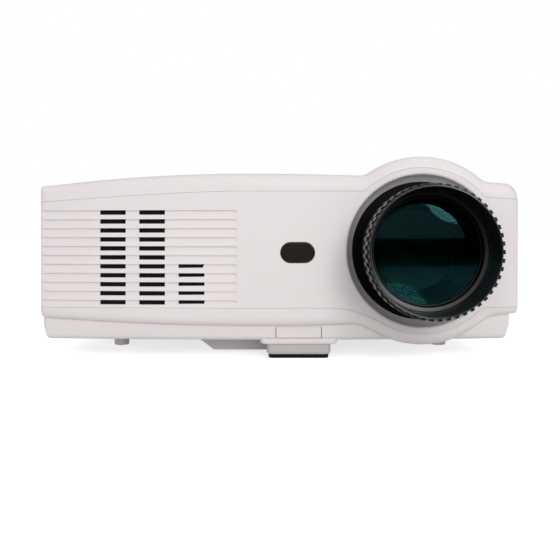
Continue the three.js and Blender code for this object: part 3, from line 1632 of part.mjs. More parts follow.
function fan(place, name, size) {
  const half = size / 2;
  const bore = half - fanRim;
  const backStart = fanThickness - fanBackThickness;
  const frame = block(-half, half, 0, fanThickness, -half, half);
  const hole = levelRod(0, 0, bore, -overrun, fanThickness + overrun, fanSideCount);
  const struts = [];
  for (let i = 0; i < fanStrutCount; i++) {
    const strut = new THREE.BoxGeometry(bore + embed, fanBackThickness, fanStrutWidth);
    strut.translate((bore + embed) / 2, backStart + fanBackThickness / 2, 0);
    struts.push(solidOf(strut.rotateY(degrees((fullTurn * i) / fanStrutCount))));
  }
  const hub = levelRod(0, 0, fanHubRadius, backStart, fanThickness, fanSideCount);
  const pinStart = fanRotorInset + fanBackThickness;
  const pin = levelRod(0, 0, fanPinRadius, pinStart, backStart + embed, screwSideCount);
  piece(place, `${name}_frame`, joined([frame.subtract(hole), hub, ...struts, pin]), blackPlastic);
  const rotorEnd = backStart - embed;
  const middle = (fanRotorInset + rotorEnd) / 2;
  const pitch = degrees(fanBladePitch);
  const tipReach = (fanBladeChord / 2) * Math.cos(pitch) + fanBladeThickness;
  const tip = Math.sqrt((bore - fanBladeGap) ** 2 - tipReach ** 2);
  const root = fanHubRadius - fanBladeGap;
  const blades = [];
  for (let i = 0; i < fanBladeCount; i++) {
    const blade = new THREE.BoxGeometry(tip - root, fanBladeThickness, fanBladeChord);
    blade.rotateX(pitch).translate((tip + root) / 2, middle, 0);
    blades.push(solidOf(blade.rotateY(degrees((fullTurn * i) / fanBladeCount))));
  }
  const rotorHub = levelRod(0, 0, fanHubRadius, fanRotorInset, rotorEnd, fanSideCount);
  const socket = levelRod(0, 0, fanPinRadius + fitGap, pinStart - fitGap, fanThickness, screwSideCount);
  piece(place, `${name}_rotor`, joined([rotorHub, ...blades]).subtract(socket), darkPlastic);
}

function fans() {
  fan(groupAt(projector, frontFanX, frontFanFace, frontFanHeight), "front_fan", frontFanSize);
  const side = groupAt(projector, sideFanStart + fanThickness, mirrorY, lensHeight);
  side.rotation.z = degrees(quarterTurn);
  fan(side, "side_fan", sideFanSize);
}

// Boards and speaker

function powerSupply() {
  const place = groupAt(projector, powerBoardLeft, powerBoardFront, powerBoardUnderside);
  const board = block(0, powerBoardLength, 0, powerBoardDepth, 0, boardThickness);
  const sinkX = powerBoardLength - sinkPlateLength;
  const sinkY = powerBoardDepth - sinkPlateThickness * 2;
  const plate = block(
    sinkX - sinkPlateThickness, powerBoardLength - sinkPlateThickness, sinkY, sinkY + sinkPlateThickness,
    boardThickness - embed, boardThickness + sinkPlateHeight,
  );
  piece(place, "power_board", board.add(plate), boardGreen);
  const [halfLong, halfDeep] = [transformerLength / 2, transformerDepth / 2];
  const coreDeep = halfDeep * transformerCoreShare;
  const top = boardThickness + transformerHeight;
  const core = block(-halfLong, halfLong, -coreDeep, coreDeep, boardThickness, top);
  const coil = block(
    -halfLong + transformerOut * 2, halfLong - transformerOut * 2, -halfDeep, halfDeep,
    boardThickness, top - transformerOut,
  );
  const transformer = piece(place, "power_transformer", core.add(coil), windingCopper);
  const middle = powerBoardDepth / 2;
  transformer.position.set(powerBoardLength * transformerPlaceShare, middle - sinkPlateThickness * 2, 0);
  const can = turnedAboutZ([
    [0, 0],
    [capacitorRadius, 0],
    [capacitorRadius, capacitorHeight - capacitorBevel],
    [capacitorRadius - capacitorBevel, capacitorHeight],
    [0, capacitorHeight],
  ], capacitorSideCount);
  const capacitor = piece(place, "bulk_capacitor", can, darkPlastic);
  capacitor.position.set(powerBoardLength * capacitorPlaceShare, middle, boardThickness);
}

function mainBoard() {
  const left = mainBoardRightX - mainBoardLength;
  const board = block(
    left, mainBoardRightX, mainBoardFront, mainBoardFace, mainBoardBottom, mainBoardBottom + mainBoardHeight,
  );
  const half = chipSize / 2;
  const chips = chipPlaces.map(([acrossShare, upShare]) => {
    const x = left + mainBoardLength * acrossShare;
    const z = mainBoardBottom + mainBoardHeight * upShare;
    const [near, far] = [mainBoardFront - chipHeight, mainBoardFront + embed];
    return block(x - half, x + half, near, far, z - half, z + half);
  });
  piece(projector, "main_board", joined([board, ...chips]), boardGreen);
}

function speaker() {
  const place = groupAt(projector, -halfWidth + wall, mouthPlane + speakerBack, tubBottom + speakerRise);
  const coneEnd = speakerFlange + speakerConeDepth;
  const profile = [
    [0, speakerDish],
    [speakerMagnetRadius / 2, speakerDish],
    [speakerRadius - speakerFlange, 0],
    [speakerRadius, 0],
    [speakerRadius, speakerFlange],
    [speakerMagnetRadius, coneEnd],
    [speakerMagnetRadius, coneEnd + speakerMagnetDepth],
    [0, coneEnd + speakerMagnetDepth],
  ];
  piece(place, "speaker", turnedAboutX(profile, speakerSideCount), darkPlastic);
}

// Elevator foot, its local origin on the table under the middle of the leg

function legOutline(inset) {
  const [halfWide, halfDeep] = [legWidth / 2 - inset, legDepth / 2 - inset];
  return roundedBox(-halfWide, halfWide, -halfDeep, halfDeep, shrunk(legCornerRadius, inset));
}

function elevatorLeg(foot) {
  const top = padHeight + legLength;
  const outer = planPrism(legOutline(0), padHeight, top);
  const inner = planPrism(legOutline(legWall), padHeight + legWall, top + overrun);
  const front = -legDepth / 2;
  const halfSlot = latchNeckWidth / 2 + fitGap * 2;
  const slotFoot = padHeight + latchSlotFoot;
  const slotTop = slotFoot + latchSlotLength;
  const slot = block(-halfSlot, halfSlot, front - overrun, front + legWall, slotFoot, slotTop);
  const stopReach = legWidth / 2 + legStopReach;
  const halfStop = legStopWidth / 2;
  const stops = [-1, 1].map((side) => {
    const [x0, x1] = [(side * legWidth) / 2 - side * embed, side * stopReach].sort((a, b) => a - b);
    return block(x0, x1, -halfStop, halfStop, top - legStopHeight, top);
  });
  const teeth = [];
  const inside = front + legWall;
  for (let i = 0; i < rackToothCount; i++) {
    const z = slotFoot + rackPitch * i + rackPitch / 2;
    const half = rackPitch / 2 - fitGap;
    const outline = [[inside - embed, z - half], [inside + rackDepth, z], [inside - embed, z + half]];
    for (const start of [-halfSlot - rackWidth, halfSlot]) {
      teeth.push(sidePrism(outline, start, start + rackWidth));
    }
  }
  const tube = outer.subtract(inner).subtract(slot);
  piece(foot, "elevator_leg", joined([tube, ...stops, ...teeth]), shellWhite);
  piece(foot, "elevator_pad", planPrism(legOutline(padInset), 0, padHeight), rubberBlack);
}

// The window in the tub's front that the release button fills, wider by a margin.
function latchWindow(margin, back) {
  const half = latchWidth / 2 + margin;
  const [z0, z1] = [latchBottom - margin, latchBottom + latchHeight + margin];
  return block(legX - half, legX + half, rimPlane, back, z0, z1);
}

function releaseButton(foot) {
  const legFront = legY - legDepth / 2;
  const plate = shell.intersect(latchWindow(0, legFront - latchTravel - fitGap));
  const level = latchBottom + latchHeight / 2;
  const [z0, z1] = [level - latchNeckHeight / 2, level + latchNeckHeight / 2];
  const headStart = legFront + legWall + rackDepth + latchToothGap;
  const halfNeck = latchNeckWidth / 2;
  const neckStart = faceAt(legX) + tubFrontInset + wall;
  const neck = block(legX - halfNeck, legX + halfNeck, neckStart, headStart + embed, z0, z1);
  const halfHead = latchHeadWidth / 2;
  const head = block(legX - halfHead, legX + halfHead, headStart, headStart + latchHeadThickness, z0, z1);
  piece(foot, "foot_release_button", moved(joined([plate, neck, head]), -legX, -legY, 0), shellWhite);
}

function elevatorFoot() {
  const foot = groupAt(projector, legX, legY, 0);
  elevatorLeg(foot);
  releaseButton(foot);
}

// Bottom shell with its collar, sleeve, posts and rails

function collarRing(marginX, marginY, z) {
  const [halfWide, halfDeep] = [legWidth / 2 + marginX, legDepth / 2 + marginY];
  const [left, right] = [legX - halfWide, legX + halfWide];
  const outline = roundedBox(left, right, legY - halfDeep, legY + halfDeep, legCornerRadius);
  return outline.map(([x, y]) => [x, y, z]);
}

function legGuide() {
  const collar = skin([
    collarRing(collarMarginX - collarChamfer, collarMarginY - collarChamfer / 2, collarBottom),
    collarRing(collarMarginX, collarMarginY, collarBottom + collarChamfer),
    collarRing(collarMarginX, collarMarginY, floorTop),
  ]);
  const margin = fitGap + guideWall;
  return collar.add(skin([collarRing(margin, margin, tubBottom), collarRing(margin, margin, guideTop)]));
}

function legHole() {
  return skin([collarRing(fitGap, fitGap, 0), collarRing(fitGap, fitGap, guideTop + overrun)]);
}

function supports() {
  const low = tubBottom + embed;
  const reach = lensArmHalfWidth - tunnelPostInset;
  const [nearY, leftX] = [tunnelFront + tunnelPostInset * 2, tunnelStart + tunnelPostInset * 2];
  const tunnelPlaces = [
    [lensX - reach, nearY],
    [lensX + reach, nearY],
    [leftX, mirrorY - tunnelHalfDepth + tunnelPostInset],
    [leftX, tunnelRear - tunnelPostInset],
  ];
  const posts = tunnelPlaces.map(([x, y]) =>
    uprightRod(x, y, tunnelPostRadius, low, tunnelBottom, screwSideCount));
  const standX = [powerBoardLeft + pegInset, powerBoardLeft + powerBoardLength - pegInset];
  const standY = [powerBoardFront + pegInset, powerBoardFront + powerBoardDepth - pegInset];
  for (const x of standX) {
    for (const y of standY) {
      posts.push(uprightRod(x, y, pegRadius, low, powerBoardUnderside, screwSideCount));
    }
  }
  return posts;
}

function rails() {
  const low = tubBottom + embed;
  const lampHalf = lampBlockSize / 2;
  const sinkHalf = heatsinkSize / 2;
  const solids = [
    block(
      fresnelFace, panelFace + panelThickness, mirrorY - sinkHalf, mirrorY + sinkHalf,
      low, lensHeight - panelHalfHeight,
    ),
    block(
      lampBlockEnd - tunnelPostInset, lampBlockEnd - tunnelPostInset / 2,
      mirrorY - lampHalf / 2, mirrorY + lampHalf / 2, low, lensHeight - lampHalf,
    ),
  ];
  for (const side of [-1, 1]) {
    const y = mirrorY + side * (sinkHalf - tunnelPostInset);
    solids.push(block(sideFanStart, sinkFace, y - wall / 2, y + wall / 2, low, lensHeight - sinkHalf));
    const x = frontFanX + side * (frontFanSize / 2 - tunnelPostInset);
    const fanFoot = frontFanHeight - frontFanSize / 2;
    const [front, back] = [frontFanFace + wall, frontFanFace + fanThickness];
    solids.push(block(x - wall / 2, x + wall / 2, front, back, low, fanFoot));
  }
  return solids;
}

const stubFeet = [
  { name: "front_left_foot", x: -footX, y: frontFootY },
  { name: "front_right_foot", x: footX, y: frontFootY },
  { name: "rear_left_foot", x: -footX, y: rearFootY },
  { name: "rear_right_foot", x: footX, y: rearFootY },
];

function intakeHole() {
  const [x, y] = [intakeX, mouthPlane + intakeBack];
  const [halfWide, halfDeep] = [intakeWidth / 2, intakeDepth / 2];
  return block(x - halfWide, x + halfWide, y - halfDeep, y + halfDeep, 0, floorTop + overrun);
}

function bottomShell() {
  const body = shell.intersect(regionBelow(partingGap / 2));
  const posts = screws.map(([x, y]) =>
    uprightRod(x, y, postRadius, tubBottom + embed, postTop, screwSideCount));
  const headTop = tubBottom + screwHeadHeight + fitGap * 2;
  const screwHoles = screws.flatMap(([x, y]) => [
    uprightRod(x, y, screwHeadRadius + fitGap, 0, headTop, screwSideCount),
    uprightRod(x, y, screwShaftRadius + fitGap, 0, postTop + overrun, screwSideCount),
  ]);
  const footHoles = stubFeet.map(({ x, y }) =>
    uprightRod(x, y, footPinRadius + fitGap, 0, floorTop + overrun, screwSideCount));
  const window = latchWindow(fitGap, legY - legDepth / 2);
  const solid = joined([body, legGuide(), ...posts, ...supports(), ...rails()]);
  const cuts = [legHole(), window, intakeHole(), ...screwHoles, ...footHoles];
  piece(projector, "bottom_shell", without(solid, cuts), shellWhite);
}

// Stub feet, screws and the filter cover under the tub

function feet() {
  for (const { name, x, y } of stubFeet) {
    const place = groupAt(projector, x, y, 0);
    const profile = [
      [0, 0],
      [footRadius - footBevel, 0],
      [footRadius, footBevel],
      [footRadius, tubBottom],
      [footPinRadius, tubBottom],
      [footPinRadius, tubBottom + footPinLength],
      [0, tubBottom + footPinLength],
    ];
    piece(place, name, turnedAboutZ(profile, footSideCount), footGrey);
  }
}

function caseScrews() {
  screws.forEach(([x, y], index) => {
    const place = groupAt(projector, x, y, tubBottom + fitGap);
    const end = screwHeadHeight + screwShaftLength;
    const body = turnedAboutZ([
      [0, 0],
      [screwHeadRadius, 0],
      [screwHeadRadius, screwHeadHeight],
      [screwShaftRadius, screwHeadHeight],
      [screwShaftRadius, end - screwShaftRadius],
      [0, end],
    ], screwSideCount);
    const [reach, half] = [screwHeadRadius - smallestRadius * 2, screwSlotWidth / 2];
    const cross = [
      block(-reach, reach, -half, half, -overrun, screwSlotDepth),
      block(-half, half, -reach, reach, -overrun, screwSlotDepth),
    ];
    piece(place, `case_screw_${index + 1}`, without(body, cross), plainSteel);
  });
}

function filterCover() {
  const front = mouthPlane + filterBack;
  const back = front + filterDepth;
  const outline = (inset, z0, z1) => [
    [filterLeftX + inset, z1],
    [filterLeftX + filterSlope + inset, z0],
    [filterRightX - filterSlope - inset, z0],
    [filterRightX - inset, z1],
  ];
  const outer = frontPrism(outline(0, filterBottom, tubBottom), front, back);
  const inside = outline(filterWall, filterBottom + filterWall, tubBottom + overrun);
  const inner = frontPrism(inside, front + filterWall, back - filterWall);
  const slots = [];
  const margin = filterSlope + filterWall * 2;
  const [left, right] = [filterLeftX + margin, filterRightX - margin];
  const firstSlot = (front + back - filterSlotPitch * (filterSlotCount - 1) - filterSlotWidth) / 2;
  for (let i = 0; i < filterSlotCount; i++) {
    const start = firstSlot + filterSlotPitch * i;
    slots.push(block(left, right, start, start + filterSlotWidth, 0, floorTop));
  }
  piece(projector, "filter_cover", without(outer, [inner, ...slots]), shellWhite);
}

bottomShell();
frontBezel();
topCover();
rearPanel();
sideGrille("left_side_grille", -1);
sideGrille("right_side_grille", 1);
infraredWindow();

const lens = groupAt(projector, lensX, 0, lensHeight);
lensMount(lens);
focusRing(lens);
lensBarrel(lens);
lensGlasses(lens);

lightTunnel();
foldMirror();
const optics = groupAt(projector, 0, mirrorY, lensHeight);
panelStack(optics);
condenser(optics);
heatsink(optics);
fans();

powerSupply();
mainBoard();
speaker();
keypad();
rearSockets();
powerInlet();

elevatorFoot();
feet();
caseScrews();
filterCover();

export default projector;
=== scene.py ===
"""A white desktop video projector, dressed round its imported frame. Metres, X right, Y back, Z up."""

import math

import bpy
import mathutils
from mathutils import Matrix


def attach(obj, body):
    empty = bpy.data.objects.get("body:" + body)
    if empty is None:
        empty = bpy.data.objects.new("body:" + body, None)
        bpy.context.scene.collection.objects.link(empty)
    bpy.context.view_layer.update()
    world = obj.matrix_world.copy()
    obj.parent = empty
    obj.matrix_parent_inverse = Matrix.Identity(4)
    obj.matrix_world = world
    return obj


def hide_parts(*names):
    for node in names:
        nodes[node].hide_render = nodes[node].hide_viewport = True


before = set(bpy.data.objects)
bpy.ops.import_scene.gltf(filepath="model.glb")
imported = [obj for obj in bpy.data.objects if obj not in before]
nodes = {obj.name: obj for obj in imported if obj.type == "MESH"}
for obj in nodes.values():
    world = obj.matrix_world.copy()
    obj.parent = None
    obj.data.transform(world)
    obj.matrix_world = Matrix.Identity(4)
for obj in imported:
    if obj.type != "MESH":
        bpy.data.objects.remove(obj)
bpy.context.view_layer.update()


# Camera
# The photograph is a level view from in front, a little above the middle of the case. The lens shift
# brings the case to the middle of the picture without tilting the uprights.

picture_width = 560
focal_pixels = 878
vanishing_row = 235
camera_place = (0, -0.6775, 0.0829)

camera_data = bpy.data.cameras.new("camera")
camera_data.sensor_width = 36
camera_data.lens = focal_pixels * camera_data.sensor_width / picture_width
camera_data.shift_y = (vanishing_row - picture_width / 2) / picture_width
camera = bpy.data.objects.new("camera", camera_data)
bpy.context.scene.collection.objects.link(camera)
camera.location = camera_place
camera.rotation_euler = (math.pi / 2, 0, 0)
bpy.context.scene.camera = camera
bpy.context.scene.view_settings.view_transform = "Standard"


# Bottom shell
# Injection-moulded white ABS: the lip band, the tub inset below it, the bulge under the lens and the collar
# of the drop-down foot. Four screws from below pull it against the top cover.
# Pieces are drawn in millimetres and then scaled.

millimetre = 0.001
half_width = 160.0
mouth_plane = -97.5
rear_plane = 147.5
case_depth = rear_plane - mouth_plane
face_bow = 9.0
lens_x = 94.5
lens_z = 72.5
wall = 2.5
left_corner, left_corner_depth = 4, 2
right_corner, right_corner_depth = 12, 5
left_crest, right_crest = 0.5, 8
front_edge, lip_radius = 8, 6.5
edge_taper, taper_reach = 6.4, 25
edge_steps = 8
lip_level = 22.5
lip_arch = (-15, -15, lip_level, -5, -7.6, 2)
crown_arch = (-25, -25, 123.7, 8.3, 6.6, 2)
rear_fall = 5
hump_radius, hump_shrink = 62.8, 18.8
hump_start, hump_length = -27.5, 110
hump_left = 28.0
hump_blend, bulge_blend = 2.4, 8
tub_bottom, tub_top = 12.7, 45.7
tub_corner, tub_edge = 3, 4.6
tub_setback, tub_right_setback = 6, 5
parting_arch = (-28, 57, 111.8, 7, 5.3, 1.4)
lower_parting_level = tub_bottom + 22.1
parting_radius = 55
parting_half = 0.07
left_fillet, right_fillet = 62, 8
arched_depth = mouth_plane + 6.6
fit_gap = 0.3
overrun = 5.0
sky_level = 145.0
open_front = -130
leg_left, leg_right, leg_front, leg_back = -9, 34, -88, -68
leg_corner = 3
screw_places = [(-145.5, -60), (145.5, -60), (-145.5, 120), (145.5, 120)]
post_radius, head_radius, shaft_radius = 5.5, 3.7, 1.8
foot_places = [(-120, -11), (120, -11), (-120, 120), (120, 120)]
pin_hole_radius = 2.8


class Shade:
    """A socket of a material's node tree. Sums on it add Math nodes."""

    def __init__(self, tree, socket=None):
        self.tree = tree
        self.socket = socket

    def add(self, kind, settings, values, output=0):
        node = self.tree.nodes.new(kind)
        for name, value in settings.items():
            setattr(node, name, value)
        for name, value in values.items():
            if isinstance(value, Shade):
                self.tree.links.new(value.socket, node.inputs[name])
            else:
                node.inputs[name].default_value = value
        return Shade(self.tree, node.outputs[output])

    def sum(self, operation, first, second):
        return self.add("ShaderNodeMath", {"operation": operation}, {0: first, 1: second})

    def __add__(self, other):
        return self.sum("ADD", self, other)

    def __sub__(self, other):
        return self.sum("SUBTRACT", self, other)

    def __rsub__(self, other):
        return self.sum("SUBTRACT", other, self)

    def __mul__(self, other):
        return self.sum("MULTIPLY", self, other)

    __radd__ = __add__
    __rmul__ = __mul__

    def mixed(self, first, second):
        """The first colour where this share is 0 and the second where it is 1."""
        values = {0: self, 6: first, 7: second}
        return self.add("ShaderNodeMix", {"data_type": "RGBA"}, values, 2)


def linear(red, green, blue):
    """A colour as it is read off a picture, 0 to 255, in the values that a shader takes."""
    parts = [((part / 255 + 0.055) / 1.055) ** 2.4 for part in (red, green, blue)]
    return (*parts, 1)


def new_material(name):
    """An empty finish: its shader, and a Shade to build patterns with."""
    material = bpy.data.materials.new(name)
    material.use_nodes = True
    shader = material.node_tree.nodes["Principled BSDF"]
    return material, shader, Shade(material.node_tree)


def wire(shader, name, shade):
    shade.tree.links.new(shade.socket, shader.inputs[name])


def noise(shade, coordinates, scale, detail=2.0):
    values = {"Vector": coordinates, "Scale": scale, "Detail": detail}
    return shade.add("ShaderNodeTexNoise", {}, values)


def moulded(name, colour, roughness, grain=2600.0, depth=0.00002, stretch=(1, 1, 1), metallic=0.0):
    """A moulded, cast or drawn surface: its grain in the bump, and slight clouds in its tone and gloss."""
    cloud_scale, tone_change = 18.0, 0.955
    material, shader, shade = new_material(name)
    place = shade.add("ShaderNodeTexCoord", {}, {}, 3)
    grained = shade.add("ShaderNodeMapping", {}, {"Vector": place, "Scale": stretch})
    fine = noise(shade, grained, grain)
    clouds = noise(shade, place, cloud_scale)
    darker = tuple(part * tone_change for part in colour[:3]) + (1,)
    wire(shader, "Base Color", (clouds * 0.6 + fine * 0.4).mixed(darker, colour))
    wire(shader, "Roughness", clouds * 0.08 + fine * 0.05 + (roughness - 0.065))
    bump = shade.add("ShaderNodeBump", {}, {"Height": fine, "Distance": depth, "Strength": 1.0})
    wire(shader, "Normal", bump)
    shader.inputs["Metallic"].default_value = metallic
    return material


def deselect():
    bpy.ops.object.select_all(action="DESELECT")


def pick(piece):
    deselect()
    piece.select_set(True)
    bpy.context.view_layer.objects.active = piece


def named(name):
    """The object that the last operator added, under its own name."""
    piece = bpy.context.object
    piece.name = name
    piece.data.name = name
    return piece


def face_outwards(piece):
    pick(piece)
    bpy.ops.object.mode_set(mode="EDIT")
    bpy.ops.mesh.select_all(action="SELECT")
    bpy.ops.mesh.normals_make_consistent(inside=False)
    bpy.ops.object.mode_set(mode="OBJECT")


def lofted(name, rings):
    """A closed solid through rings of points: a disc extruded once for each ring, then laid on its points."""
    deselect()
    count = len(rings[0])
    bpy.ops.mesh.primitive_circle_add(vertices=count, fill_type="NGON")
    piece = named(name)
    bpy.ops.object.mode_set(mode="EDIT")
    bpy.ops.mesh.select_all(action="SELECT")
    for _ in rings[1:]:
        bpy.ops.mesh.extrude_region_move(TRANSFORM_OT_translate={"value": (0, 0, 1)})
    bpy.ops.object.mode_set(mode="OBJECT")
    for vertex in piece.data.vertices:
        x, y, z = vertex.co
        place = round(math.atan2(y, x) / math.tau * count) % count
        vertex.co = rings[round(z)][place]
    face_outwards(piece)
    return piece


def prism(name, outline, front, back):
    """An outline of x and z, run from one depth to another."""
    return lofted(name, [[(x, depth, z) for x, z in outline] for depth in (front, back)])


def upright(name, outline, low, high):
    """An outline of x and y, run from one height to another."""
    return lofted(name, [[(x, y, height) for x, y in outline] for height in (low, high)])


def combine(piece, other, operation):
    """A boolean modifier, applied. The second solid is used up."""
    modifier = piece.modifiers.new("shape", "BOOLEAN")
    modifier.operation = operation
    modifier.solver = "MANIFOLD"
    modifier.object = other
    pick(piece)
    bpy.ops.object.modifier_apply(modifier="shape")
    bpy.data.objects.remove(other)


def copied(piece, name):
    twin = piece.copy()
    twin.data = piece.data.copy()
    twin.name = name
    twin.data.name = name
    bpy.context.scene.collection.objects.link(twin)
    return twin


def settle(piece, material, body, slot, *replaced):
    """Scales a piece drawn in millimetres, smooths it, and puts it on its body in place of CAD nodes."""
    pick(piece)
    piece.scale = (millimetre, millimetre, millimetre)
    bpy.ops.object.transform_apply(location=True, rotation=True, scale=True)
    bpy.ops.object.shade_smooth_by_angle(angle=math.radians(30))
    weighted = piece.modifiers.new("weighted", "WEIGHTED_NORMAL")
    weighted.keep_sharp = True
    bpy.ops.object.modifier_apply(modifier="weighted")
    piece.data.materials.clear()
    piece.data.materials.append(material)
    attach(piece, body)
    if replaced:
        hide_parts(*replaced)


def face_at(x):
    """The depth of the bowed front."""
    return mouth_plane + face_bow * (x * x - lens_x * lens_x) / half_width ** 2


def arch(x, low, high, level, left_fall, right_fall, power):
    """A height that is level from low to high and falls away to both sides by a power of the distance."""
    if x < low:
        return level - left_fall * ((low - x) / (half_width + low)) ** power
    if x > high:
        return level - right_fall * ((x - high) / (half_width - high)) ** power
    return level


def rounding(distance, radius):
    """How far a rounded edge draws a surface in, at a distance from that edge."""
    share = max(1 - distance / radius, 0)
    return radius * (1 - math.sqrt(max(1 - share * share, 0)))


def blend(first, second, width):
    """The higher of two heights, with a fillet where they meet."""
    nearness = max(width - abs(first - second), 0) / width
    return max(first, second) + nearness * nearness * width / 4


def corner_inset(x, inward):
    """How far the upright corners draw the front in."""
    left = rounding(x + half_width - inward, left_corner - inward) * (left_corner_depth / left_corner)
    right = rounding(half_width - inward - x, right_corner - inward) * (right_corner_depth / right_corner)
    return left + right


def hump_reach(x, y, drawn_in):
    """Half the height of the hump over one place, and 0 beside it. It fades out towards the rear."""
    faded = min(max((y - hump_start) / hump_length, 0), 1)
    radius = hump_radius - drawn_in - hump_shrink * faded * faded
    return math.sqrt(max(radius * radius - (x - lens_x) ** 2, 0))


def case_columns(left, right, left_round, right_round):
    """Places across the case, close together round the corners and the hump."""
    turns = [math.cos(math.pi / 2 * i / edge_steps) for i in range(edge_steps + 1)]
    columns = [left + left_round * (1 - turn) for turn in turns]
    start, end = columns[-1], right - right_round
    columns += [start + (hump_left - start) * i / 40 for i in range(1, 40)]
    columns += [hump_left + (end - hump_left) * i / 60 for i in range(60)]
    return columns + [right - right_round * (1 - turn) for turn in reversed(turns)]


def case_solid(name, inward):
    """The outside of the case, or its cavity where it is drawn inward by the wall."""
    left, right = -half_width + inward, half_width - inward
    left_top, right_top = max(left_crest - inward, fit_gap), right_crest - inward
    lip_edge = max(lip_radius - inward, fit_gap)
    columns = case_columns(left, right, left_corner - inward, right_corner - inward)
    near = [1 - math.cos(math.pi / 2 * i / edge_steps) for i in range(edge_steps + 1)]
    middle = [-80, -70, -60, -50, -40, -27.5] + [-16.5 + 11 * i for i in range(13)] + [126]
    row_count = len(near) * 2 + len(middle)
    deselect()
    bpy.ops.mesh.primitive_grid_add(x_subdivisions=len(columns) - 1, y_subdivisions=row_count - 1, size=1)
    piece = named(name)
    bpy.ops.object.mode_set(mode="EDIT")
    bpy.ops.mesh.select_all(action="SELECT")
    bpy.ops.mesh.extrude_region_move(TRANSFORM_OT_translate={"value": (0, 0, 1)})
    bpy.ops.object.mode_set(mode="OBJECT")
    for vertex in piece.data.vertices:
        x = columns[round((vertex.co.x + 0.5) * (len(columns) - 1))]
        row = round((vertex.co.y + 0.5) * (row_count - 1))
        corner = corner_inset(x, inward)
        taper = edge_taper * rounding(x + half_width, taper_reach) / taper_reach
        edge = max(front_edge - taper - inward, fit_gap)
        if row < len(near):
            depth = near[row] * edge
            y = face_at(x) + inward + corner + depth
        elif row < len(near) + len(middle):
            depth = edge
            y = middle[row - len(near)]
        else:
            depth = near[row_count - 1 - row] * edge
            y = rear_plane - inward - corner - depth
        drawn_in = inward + rounding(depth, edge)
        reach = hump_reach(x, y, drawn_in)
        if vertex.co.z > 0.5:
            behind = (y - mouth_plane) / case_depth
            fall = rear_fall * behind ** 2 + rounding(x - left, left_top) + rounding(right - x, right_top)
            crown = arch(x, *crown_arch) - fall - drawn_in
            z = blend(crown, lens_z + reach, hump_blend)
        else:
            lip = arch(x, *lip_arch) + inward + rounding(depth, lip_edge)
            z = -blend(-lip, reach - lens_z, bulge_blend)
        vertex.co = (x, y, z)
    face_outwards(piece)
    return piece


def arc(x, y, radius, start, end, steps):
    turns = [math.radians(start + (end - start) * i / steps) for i in range(steps + 1)]
    return [(x + radius * math.cos(turn), y + radius * math.sin(turn)) for turn in turns]


def rounded_box(left, right, front, back, radius, steps=6):
    corners = [(right, back, 0), (left, back, 90), (left, front, 180), (right, front, 270)]
    outline = []
    for x, y, start in corners:
        middle_x = x - radius if x == right else x + radius
        middle_y = y - radius if y == back else y + radius
        outline += arc(middle_x, middle_y, radius, start, start + 90, steps)
    return outline


def disc(x, y, radius, steps=32):
    return arc(x, y, radius, 0, 360 - 360 / steps, steps - 1)


def tub_ring(inset, z):
    """The tub's outline at one height, following the bowed front behind the lip."""
    left, right = -half_width + 0.1 + inset * 0.75, half_width - tub_right_setback - inset
    radius = max(tub_corner - inset, fit_gap)
    back = rear_plane - tub_setback - inset
    turns = [radius * (1 - math.cos(math.pi / 2 * i / 6)) for i in range(7)]
    places = [left + turn for turn in turns]
    places += [left + radius + (right - left - 2 * radius) * i / 40 for i in range(1, 40)]
    places += [right - turn for turn in reversed(turns)]
    ring = []
    for x in places:
        corner = rounding(x - left, radius) + rounding(right - x, radius)
        ring.append((x, face_at(x) + tub_setback + inset + corner))
    ring += arc(right - radius, back - radius, radius, 0, 90, 6)
    ring += arc(left + radius, back - radius, radius, 90, 180, 6)
    return [(x, y, z) for x, y in ring]


def tub_solid(name, inward):
    edge = tub_edge - inward
    corner = arc(inward + 1.7 + edge, tub_bottom + inward + edge, edge, -90, -180, 6)
    rings = [tub_ring(inset, z) for inset, z in corner]
    return lofted(name, rings + [tub_ring(inward, lip_level), tub_ring(inward, tub_top)])


def upper_parting(x):
    return arch(min(max(x, -half_width), half_width), *parting_arch)


def upper_line(shift, arched):
    """The upper parting line from left to right. Its arched form runs round the lens."""
    radius = parting_radius + shift
    places = [-half_width - overrun + 2.5 * i for i in range(133)]
    bridge = []
    if arched:
        reach = radius * math.sqrt(0.5)
        rises = [upper_parting(lens_x + side * reach) + shift - lens_z for side in (-1, 1)]
        left, right = [math.degrees(math.asin(rise / radius)) for rise in rises]
        bridge = arc(lens_x, lens_z, radius, 180 - left, right, 48)
        places = [x for x in places if x < bridge[0][0] - 0.2 or x > bridge[-1][0] + 0.2]
    before = [(x, upper_parting(x) + shift) for x in places if x < lens_x]
    after = [(x, upper_parting(x) + shift) for x in places if x >= lens_x]
    return before + bridge + after


def lower_line(shift, arched):
    """The lower parting line. Its arched form dips round the lens by a fillet, an arc and a fillet."""
    level, radius = lower_parting_level - shift, parting_radius + shift
    ends = [(-half_width - overrun, level), (half_width + overrun, level)]
    if not arched:
        return ends
    fillets = []
    for side, size, steps in ((-1, left_fillet, 24), (1, right_fillet, 12)):
        across = math.sqrt((radius + size) ** 2 - (lens_z - level + size) ** 2)
        x, z = lens_x + side * across, level - size
        meeting = math.degrees(math.atan2(lens_z - z, lens_x - x))
        fillets.append((arc(x, z, size, 90, meeting, steps), meeting + 180))
    (left, start), (right, end) = fillets
    return [ends[0]] + left + arc(lens_x, lens_z, radius, start, end, 48)[1:-1] + right[::-1] + [ends[1]]


def region(lows, highs):
    """Everything between two lines, in their arched form in front and level behind."""
    closed = [high + low[::-1] for low, high in zip(lows, highs)]
    front = prism("front_region", closed[0], open_front, arched_depth)
    combine(front, prism("rear_region", closed[1], arched_depth, rear_plane + overrun), "UNION")
    return front


def level_lines(level):
    return [[(-half_width - overrun, level), (half_width + overrun, level)]] * 2


def both_forms(line, shift):
    return [line(shift, True), line(shift, False)]


